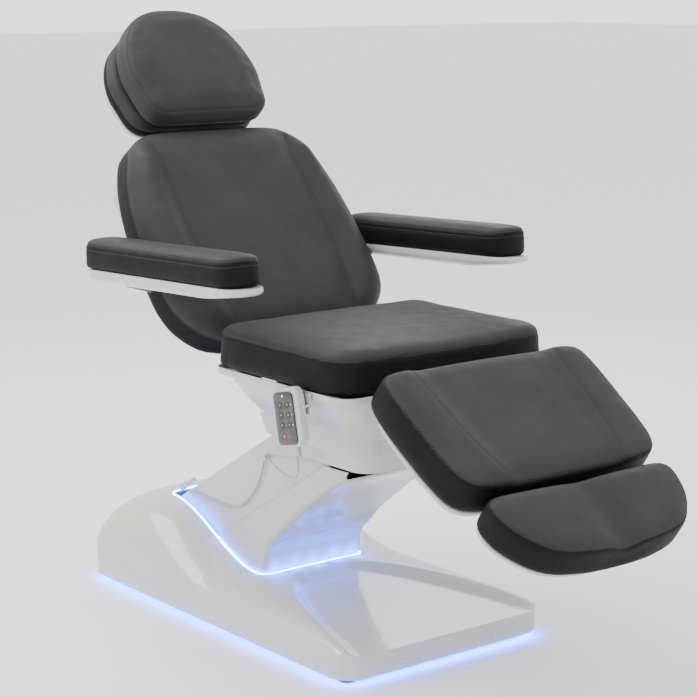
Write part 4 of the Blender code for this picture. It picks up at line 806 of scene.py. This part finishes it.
class Cushion:
    """An upholstered pad with its seams and stitches, drawn as (y, up the slope, out of the face)."""

    def __init__(self, name, body, node, matrix, outline, top, bottom, round_top, round_bottom, relief,
                 swell, voxel, fill=0.8):
        self.name, self.body, self.node = name, body, node
        self.matrix, self.world = matrix, SHIFT @ matrix
        self.loop = softened(evenly(outline, 260), 6)
        self.normals = inward(self.loop)
        self.top, self.bottom, self.round_top, self.round_bottom = top, bottom, round_top, round_bottom
        self.relief, self.swell, self.voxel, self.fill = relief, swell, voxel, fill
        self.obj = self.build()

    def ring(self, inset, height):
        flat = self.loop + self.normals * inset
        share = min(1.0, max(0.0, (height - self.bottom) / (self.top - self.bottom)))
        return [(y, up, height + self.relief(y, up) * share ** 2) for y, up in flat]

    def build(self):
        shrink = 0.0015
        rings = []
        under = self.loop + self.normals * self.round_bottom
        centre = self.loop.mean(axis=0)
        for spread in (0.02, 0.3, 0.6, 0.85):
            rings.append([(y, up, self.bottom) for y, up in centre + (under - centre) * spread])
        for i in range(7):
            turn = radians(90 * i / 6)
            rings.append(self.ring(shrink + self.round_bottom * (1 - sin(turn)),
                                   self.bottom + self.round_bottom * (1 - cos(turn))))
        for i in range(9):
            turn = radians(90 * i / 8)
            rings.append(self.ring(shrink + self.round_top * (1 - cos(turn)),
                                   self.top - self.round_top * (1 - sin(turn))))
        over = self.loop + self.normals * (shrink + self.round_top)
        for i in range(1, 25):
            flat = centre + (over - centre) * (1 - i / 24.5)
            rings.append([(y, up, self.top + self.relief(y, up)) for y, up in flat])
        rings = [[self.matrix @ Vector(p) for p in ring] for ring in rings]
        obj = loft(self.name, rings, caps=(True, True), sharp=SMOOTH)
        obj = shaped(obj, "REMESH", SMOOTH, mode="VOXEL", voxel_size=self.voxel, use_smooth_shade=True)
        obj = shaped(obj, "SMOOTH", SMOOTH, factor=0.5, iterations=4)
        obj = self.inflate(obj)
        obj = shaped(obj, "SUBSURF", SMOOTH, levels=1, render_levels=1)
        settle(obj, None, "leather", (self.node,))
        return obj

    def inflate(self, obj):
        """Swells the cover with cloth and inner pressure; its underside stays on its shell."""
        frames = 20
        rest = np.array([v.co for v in obj.data.vertices])
        back = self.world.inverted()
        held = obj.vertex_groups.new(name="held")
        low = [v.index for v in obj.data.vertices if (back @ v.co).z < self.bottom + 0.012]
        held.add(low, 1.0, "REPLACE")
        cloth = obj.modifiers.new("swell", "CLOTH")
        settings = cloth.settings
        settings.use_pressure, settings.uniform_pressure_force = True, 4.0
        settings.effector_weights.gravity = 0.0
        settings.quality, settings.mass = 4, 0.3
        settings.tension_stiffness = settings.compression_stiffness = 22.0
        settings.shear_stiffness, settings.bending_stiffness = 8.0, 1.2
        settings.vertex_group_mass = "held"
        cloth.collision_settings.use_self_collision = False
        cloth.point_cache.frame_start, cloth.point_cache.frame_end = 1, frames
        scene = bpy.context.scene
        for number in range(1, frames + 1):
            scene.frame_set(number)
        shape = obj.evaluated_get(bpy.context.evaluated_depsgraph_get())
        moved = np.array([v.co for v in shape.data.vertices])
        obj.modifiers.remove(cloth)
        obj.vertex_groups.remove(held)
        scene.frame_set(1)
        step = moved - rest
        size = np.linalg.norm(step, axis=1, keepdims=True)
        step *= np.minimum(1.0, self.swell / np.maximum(size, 1e-9))
        calm = averaged(obj.data, step, 24)
        step = calm + WRINKLE * (step - calm)
        obj.data.vertices.foreach_set("co", (rest + step).astype(np.float32).ravel())
        obj.data.update()
        return obj

    def surface(self):
        mesh = self.obj.data
        return BVHTree.FromPolygons([v.co for v in mesh.vertices], [tuple(p.vertices) for p in mesh.polygons])

    def paint_side_shade(self, height):
        """Marks what lies below that height as the side band, where the leather paints the shade of sides lit
        less from above.
        """
        mesh = self.obj.data
        back = self.world.inverted()
        shares = []
        for vertex in mesh.vertices:
            y, up, out = back @ vertex.co
            shares.append(smooth_step((height - (out - self.relief(y, up))) / SIDE_SHADE_EDGE + 0.5))
        mesh.attributes.new("painted_side_shade", "FLOAT", "POINT").data.foreach_set("value", shares)

    def crease(self, points, depth, width):
        """Presses a groove into the cover along points of the bed's frame."""
        near = KDTree(len(points))
        for index, point in enumerate(points):
            near.insert(point, index)
        near.balance()
        mesh = self.obj.data
        places, facing = (np.zeros(3 * len(mesh.vertices), np.float32) for _ in range(2))
        mesh.vertices.foreach_get("co", places)
        mesh.vertices.foreach_get("normal", facing)
        places, facing = places.reshape(-1, 3), facing.reshape(-1, 3)
        for index, place in enumerate(places):
            _, _, distance = near.find(place)
            if distance < 3 * width:
                places[index] -= facing[index] * depth * bell(distance, width)
        mesh.vertices.foreach_set("co", places.ravel())
        self.obj.data.update()

    def seam(self, name, inset, height, radius=TOP_SEAM, stitch=None, groove=0.0016):
        """A sewn seam round the pad at that inset and height, with stitches beside it."""
        loop = evenly(self.loop, 640)
        flat = loop + inward(loop) * inset
        guide = [self.world @ Vector((y, up, height + self.relief(y, up))) for y, up in flat]
        surface = self.surface()
        self.crease([surface.find_nearest(p)[0] for p in guide], groove, 0.0034)
        self.sew(name, guide, radius, stitch, closed=True)

    def line(self, name, route, stitch, groove=0.003, width=0.009):
        """A sewn line across the face through (y, up) points."""
        flat = smooth_route([(y, up, 0.0) for y, up in route], 24)
        guide = [self.world @ Vector((p.x, p.y, self.top + self.relief(p.x, p.y))) for p in flat]
        self.crease(guide, groove, width)
        self.sew(name, guide, TOP_SEAM, stitch, closed=False)

    def sew(self, name, guide, radius, stitch, closed):
        surface = self.surface()
        found = [surface.find_nearest(p) for p in guide]
        path = [place - BASE - normal * radius * 0.35 for place, normal, _, _ in found]
        seam = sweep(name, path, radius, 8, closed=closed)
        settle(seam, self.body, "leather")
        if stitch is None:
            return
        points, faces = [], []
        run = 0.0
        for (here, normal, _, _), (ahead, _, _, _) in zip(found, found[1:]):
            run += (ahead - here).length
            if run < STITCH_PITCH:
                continue
            run = 0.0
            along = (ahead - here).normalized()
            side = normal.cross(along)
            place, facing, _, _ = surface.find_nearest(here + side * stitch)
            self.stitch(points, faces, place - BASE, along, facing)
        threads = from_faces(name + "_stitches", points, faces, SMOOTH)
        settle(threads, self.body, "leather", material=THREAD)

    @staticmethod
    def stitch(points, faces, place, along, facing):
        """One sunk end, a raised middle and the other sunk end of a stitch."""
        across = facing.cross(along)
        sections = ((-0.5, 0.0002, -0.0003), (-0.32, 0.0004, 0.0002), (0.0, 0.00045, 0.0004),
                    (0.32, 0.0004, 0.0002), (0.5, 0.0002, -0.0003))
        first = len(points)
        for share, half, lift in sections:
            middle = place + along * share * STITCH_LENGTH + facing * lift
            points.extend(middle + across * half * cos(a) + facing * half * sin(a)
                          for a in (radians(60 * k) for k in range(6)))
        for s in range(len(sections) - 1):
            for k in range(6):
                n = (k + 1) % 6
                low, high = first + 6 * s, first + 6 * (s + 1)
                faces.append((low + k, low + n, high + n, high + k))
        last = first + 6 * (len(sections) - 1)
        faces.append(tuple(first + k for k in range(6)))
        faces.append(tuple(last + k for k in range(6)))

    def done(self):
        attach(self.obj, self.body)


BACK_OUTLINE = [(0.0, 0.0), (0.16, 0.002), (0.24, 0.018), (0.295, 0.07), (0.317, 0.13), (0.32, 0.2),
                (0.316, 0.32), (0.302, 0.42), (0.276, 0.51), (0.24, 0.578), (0.175, 0.606), (0.0, 0.61)]
SEAT_OUTLINE = [(0.0, -0.508), (0.2, -0.508), (0.275, -0.494), (0.307, -0.448), (0.312, -0.34), (0.312, -0.1),
                (0.3, -0.028), (0.24, -0.018), (0.0, -0.018)]
LEG_OUTLINE = [(0.0, -0.24), (0.19, -0.238), (0.266, -0.218), (0.292, -0.165), (0.3, -0.06), (0.3, 0.05),
               (0.28, 0.108), (0.205, 0.122), (0.0, 0.124)]
FOOT_OUTLINE = [(0.0, -0.447), (0.1, -0.442), (0.185, -0.42), (0.244, -0.362), (0.266, -0.302),
                (0.26, -0.264), (0.228, -0.249), (0.11, -0.247), (0.0, -0.247)]
BACK_CREASE = [(0.176, 0.03), (0.19, 0.1), (0.199, 0.18), (0.204, 0.28), (0.204, 0.36), (0.2, 0.44),
               (0.196, 0.5), (0.2, 0.548)]
LEG_CREASE = [(0.205, 0.095), (0.199, 0.03), (0.194, -0.04), (0.184, -0.12), (0.166, -0.2)]


def crease_at(line, up):
    ups, ys = [p[1] for p in line], [p[0] for p in line]
    if ups[0] > ups[-1]:
        ups, ys = ups[::-1], ys[::-1]
    return float(np.interp(up, ups, ys))


def back_relief(y, up):
    """A wide centre panel between two raised bolsters, its top and bottom running out flat."""
    crease = crease_at(BACK_CREASE, up)
    inside = smooth_step(up / 0.12) * smooth_step((0.6 - up) / 0.1)
    bolster = bell(abs(y) - crease - 0.055, 0.05) * 0.013
    valley = bell(abs(y) - crease, 0.026) * 0.01
    centre = 0.005 * max(0.0, 1.0 - (y / crease) ** 2) if abs(y) < crease else 0.0
    return inside * (bolster - valley + centre) - 0.004 * bell(up - 0.61, 0.05)


def seat_relief(y, up):
    crown = 0.004 * (1 - min(1.0, abs(y) / 0.3) ** 2)
    dish = -0.006 * bell(y, 0.16) * smooth_step((-up - 0.36) / 0.14)
    return crown + dish


def leg_relief(y, up):
    crease = crease_at(LEG_CREASE, up)
    dish = -0.008 * smooth_step((crease + 0.02 - abs(y)) / 0.06)
    return dish + 0.003 * bell(y, 0.13)


def foot_relief(y, up):
    """Two heel lobes and the valley between them, which notches the far end."""
    down = (-up - 0.247) / 0.2
    valley = -0.012 * bell(y, 0.045 - 0.01 * down) * smooth_step((down + 0.15) / 0.4)
    return valley + 0.003 * bell(abs(y) - 0.13, 0.07)


def pillow_relief(y, up):
    return 0.01 * max(0.0, 1.0 - (y / 0.2) ** 2) * max(0.0, 1.0 - ((up - 0.77) / 0.18) ** 2)


def armrest_relief(y, up):
    return 0.004 * (1.0 - min(1.0, abs(y) / 0.055) ** 2)


def make_cushions():
    back = Cushion("back_pad", "backrest", "back_cushion", pad_plane(*BACK), curved(BACK_OUTLINE),
                   0.0, -0.118, 0.04, 0.02, back_relief, swell=0.006, voxel=0.0068)
    for side, name in ((1, "left"), (-1, "right")):
        back.line(f"back_panel_seam_{name}", [(side * y, up) for y, up in BACK_CREASE], side * 0.0042)
    back.seam("back_edge_seam", 0.006, -0.052)
    back.paint_side_shade(-0.056)
    back.done()

    seat = Cushion("seat_pad", "seat", "seat_cushion", pad_plane(*SEAT), curved(SEAT_OUTLINE),
                   0.0, -0.0965, 0.026, 0.014, seat_relief, swell=0.0055, voxel=0.0062)
    seat.seam("seat_top_seam", 0.0025, -0.02, stitch=0.004)
    seat.paint_side_shade(-0.022)
    seat.done()

    leg = Cushion("leg_pad", "leg_rest", "leg_cushion", pad_plane(*LEG), curved(LEG_OUTLINE),
                  0.0, -0.09, 0.018, 0.022, leg_relief, swell=0.005, voxel=0.0058)
    for side, name in ((1, "left"), (-1, "right")):
        leg.line(f"leg_panel_seam_{name}", [(side * y, up) for y, up in LEG_CREASE], side * 0.004,
                 groove=0.0016, width=0.006)
    leg.seam("leg_top_seam", 0.007, -0.005, stitch=0.004)
    leg.paint_side_shade(-0.008)
    leg.done()

    foot = Cushion("foot_pad", "foot_rest", "foot_cushion", pad_plane(*LEG), curved(FOOT_OUTLINE),
                   0.0, -0.082, 0.018, 0.022, foot_relief, swell=0.0045, voxel=0.0052)
    foot.seam("foot_top_seam", 0.007, -0.005, stitch=0.004)
    foot.paint_side_shade(-0.008)
    foot.done()

    outline = head_outline(0.207, 0.628, 0.944)
    head = Cushion("head_cushion", "headrest", "head_pad", pad_plane(*BACK), outline,
                   -0.042, -0.104, 0.018, 0.018, lambda y, up: 0.0, swell=0.003, voxel=0.005)
    head.seam("head_edge_seam", 0.001, -0.073)
    head.paint_side_shade(-0.074)
    head.done()

    outline = head_outline(0.198, 0.613, 0.952)
    pillow = Cushion("head_pillow", "pillow", "pillow", pad_plane(*BACK), outline,
                     0.03, -0.033, 0.026, 0.012, pillow_relief, swell=0.005, voxel=0.0052, fill=0.7)
    pillow.seam("pillow_front_seam", 0.012, 0.02, stitch=0.0038)
    pillow.done()

    for side, name in ((1, "left"), (-1, "right")):
        make_armrest_pad(side, name)
        make_armrest_tray(side, name)


def arm_plane(side, z):
    """A plane drawn as (y across the arm, x back along it, up), like the pads' planes."""
    place = Matrix.Translation((0.0, side * 0.391, z)) @ Matrix.Rotation(-ARMREST_TILT, 4, "Y")
    return place @ Matrix(((0.0, -1.0, 0.0), (1.0, 0.0, 0.0), (0.0, 0.0, 1.0))).to_4x4()


def make_armrest_pad(side, name):
    outline = [(y, -x) for x, y in two_radius_box(-0.33, 0.285, 0.055, 0.03, 0.048)]
    plane = arm_plane(side, 0.8915)
    pad = Cushion(f"armrest_cushion_{name}", f"armrest_{name}", f"armrest_pad_{name}", plane, outline,
                  0.033, -0.033, 0.017, 0.01, armrest_relief, swell=0.0028, voxel=0.0046, fill=0.9)
    pad.seam(f"armrest_top_seam_{name}", 0.003, 0.024, stitch=0.0034)
    pad.paint_side_shade(0.0225)
    pad.seam(f"armrest_side_seam_{name}", 0.0, 0.012, groove=0.001, radius=0.0009)
    pad.done()


def make_armrest_tray(side, name):
    plane = arm_plane(side, 0.843)
    outline = evenly(two_radius_box(-0.32, 0.298, 0.051, 0.028, 0.046), 200)
    normals = inward(outline)
    bulge = 0.016
    steps = [(0.004, 0.015), (0.001, 0.0146), (0.0, 0.013), (0.0, 0.002)]
    for turn in (radians(10 * k) for k in range(1, 10)):
        steps.append((bulge * (1 - cos(turn)), 0.002 - bulge * sin(turn)))
    rings = []
    for inset, height in steps:
        rings.append([shell_point(plane, x, y, height) for x, y in outline + normals * inset])
    centre, last = outline.mean(axis=0), outline + normals * bulge
    for share in (0.9, 0.75, 0.5, 0.25, 0.02):
        rings.append([shell_point(plane, x, y, -0.014) for x, y in centre + (last - centre) * share])
    shell = loft(f"armrest_tray_{name}", rings, caps=(True, True), sharp=36.0)
    pivot = Vector((-0.215, 0.0, 0.83))
    bore = turned(f"armrest_bore_{name}", [(0.0, 0.0), (0.0096, 0.0), (0.0096, 0.072), (0.0, 0.072)],
                  pivot + Vector((0.0, side * 0.3, 0.0)), (0, side, 0))
    settle(cut(shell, bore, sharp=36.0), f"armrest_{name}", "white_shell", (f"armrest_shell_{name}",))


def shell_point(plane, x, y, height):
    """A point of an armrest's tray, whose keel rises towards its front tip."""
    lift = 0.011 * smooth_step((x - 0.15) / 0.148) * min(1.0, max(0.0, (0.01 - height) / 0.024))
    return plane @ Vector((y, -x, height + lift))


# ---------------------------------------------------------------- handset
HANDSET_WIDE, HANDSET_HIGH, HANDSET_DEEP = 0.043, 0.066, 0.011      # half its size
MARK_DEEP = 0.0004


def handset_plane(depth):
    """Outlines drawn as (to the right, up) of someone facing the handset; depth is out of its face."""
    return (Matrix.Translation(HANDSET - Vector((0.0, depth, 0.0)))
            @ Matrix.Rotation(HANDSET_TILT, 4, "Y") @ Matrix.Rotation(radians(90), 4, "X"))


def make_handset_case():
    outline = rounded_box((-HANDSET_WIDE, -HANDSET_HIGH), (HANDSET_WIDE, HANDSET_HIGH), 0.022, 12)
    case = slab("handset_case", outline, 2 * HANDSET_DEEP, handset_plane(0.0), 0.0048, steps=8)
    settle(case, "handset", "white_shell", ("handset_body",))
    below, end = (handset_plane(0.0) @ Vector((0.012, z - HANDSET_HIGH, 0.0)) for z in (0.002, -0.02))
    profile = [(0.0, 0.024), (0.0034, 0.024)]
    for k in range(5, -1, -1):
        z = 0.0035 * k + 0.001
        radius = 0.0058 - 0.0022 * z / 0.024
        groove = radius - 0.0007
        profile += [(groove, z + 0.0016), (radius, z + 0.0012), (radius, z + 0.0002), (groove, z)]
    profile += [(0.0052, 0.0), (0.0, 0.0)]
    settle(turned("handset_relief", profile, below, end - below, 24), "handset", "cord")


def make_handset_panel():
    rows, columns = (0.028, 0.006, -0.016), (-0.016, 0.01)
    places = [(x, z) for z in rows for x in columns] + [(-0.014, -0.041)]
    holes = [arc(place, 0.0065, 0, 352.5, 47) for place in places]
    low, high = (0.003 - HANDSET_WIDE, 0.006 - HANDSET_HIGH), (HANDSET_WIDE - 0.014, HANDSET_HIGH - 0.01)
    plane = handset_plane(HANDSET_DEEP + 0.0018)
    face = slab("handset_panel", rounded_box(low, high, 0.012, 10), 0.003, plane, 0.0005, holes, steps=3)
    settle(face, "handset", "black_gloss", ("handset_face",))
    dome = [(0.0, 0.0034), (0.003, 0.00335), (0.0045, 0.0031), (0.0054, 0.0026), (0.0058, 0.0019),
            (0.0058, 0.0), (0.0, 0.0)]
    for index, (name, (x, z)) in enumerate(zip(KEYS, places)):
        stop = name == "key_stop"
        centre = handset_plane(HANDSET_DEEP + 0.0012) @ Vector((x, z, 0.0))
        slot = "red_key" if stop else "key_plastic"
        settle(turned(name + "_cap", dome, centre, (0, -1, 0), 40), name, slot, (name,))
        tip = -0.0021 if index % 2 else 0.0021
        arrow = [(x - tip, z - 0.6 * tip), (x + tip, z - 0.6 * tip), (x, z + tip)]
        mark = arc((x, z), 0.0016, 0, 345, 23) if stop else arrow
        sign = slab(name + "_mark", mark, MARK_DEEP, handset_plane(HANDSET_DEEP + 0.0047))
        settle(sign, name, "key_plastic", material=MARKS)
    for index, z in enumerate(rows):
        outline = rounded_box((0.0185, z - 0.0012), (0.0245, z + 0.0012), 0.001, 5)
        bar = slab(f"handset_row_mark_{index}", outline, MARK_DEEP, handset_plane(HANDSET_DEEP + 0.0034))
        settle(bar, "handset", "black_gloss", material=MARKS)
    lamp = turned("handset_lamp", [(0.0, 0.0009), (0.0012, 0.0007), (0.002, 0.0)],
                  handset_plane(HANDSET_DEEP + 0.0033) @ Vector((-0.006, 0.047, 0.0)), (0, -1, 0), 24)
    settle(lamp, "handset", "light_strip", material=BLUE_DOT)


# ---------------------------------------------------------------- other CAD solids, cleaned and edged
RIGID = (
    ("painted_steel", ("base_frame", "lift_tower", "rear_link", "front_link", "carrier_frame", "seat_frame",
                       "back_frame", "armrest_bracket_left", "armrest_bracket_right", "leg_frame",
                       "foot_frame")),
    ("bright_steel", ("lift_rod", "back_rod", "leg_rod", "head_post", "handset_hook")),
    ("motor_plastic", ("lift_motor", "back_motor", "leg_motor")),
    ("rubber", ("mains_inlet",)),
    ("light_strip", ("base_light_strip",)))


def refine(node, slot):
    """A copy of a rigid CAD solid with welded points, merged flats and small worn edges."""
    mesh = NODES[node].data.copy()
    bm = bmesh.new()
    bm.from_mesh(mesh)
    bmesh.ops.remove_doubles(bm, verts=bm.verts, dist=0.00002)
    bmesh.ops.dissolve_limit(bm, angle_limit=radians(1.0), verts=bm.verts, edges=bm.edges)
    bm.to_mesh(mesh)
    bm.free()
    obj = new_object(node + "_part", mesh)
    obj = shaped(obj, "BEVEL", 32.0, width=0.0006, segments=2, angle_limit=radians(32))
    settle(obj, BODY_OF[node], slot, (node,)).visible_glossy = slot != "light_strip"


make_stage()
make_cord()
make_base_cover()
make_column_light()
make_base_fittings()
make_rear_cover()
make_front_cover()
make_cable_guides()
make_carrier_cover()
make_seat_pan()
make_back_shell()
make_head_shell()
make_leg_shells()
make_handset_case()
make_handset_panel()
make_cushions()
for finish, rigid_nodes in RIGID:
    for rigid in rigid_nodes:
        refine(rigid, finish)
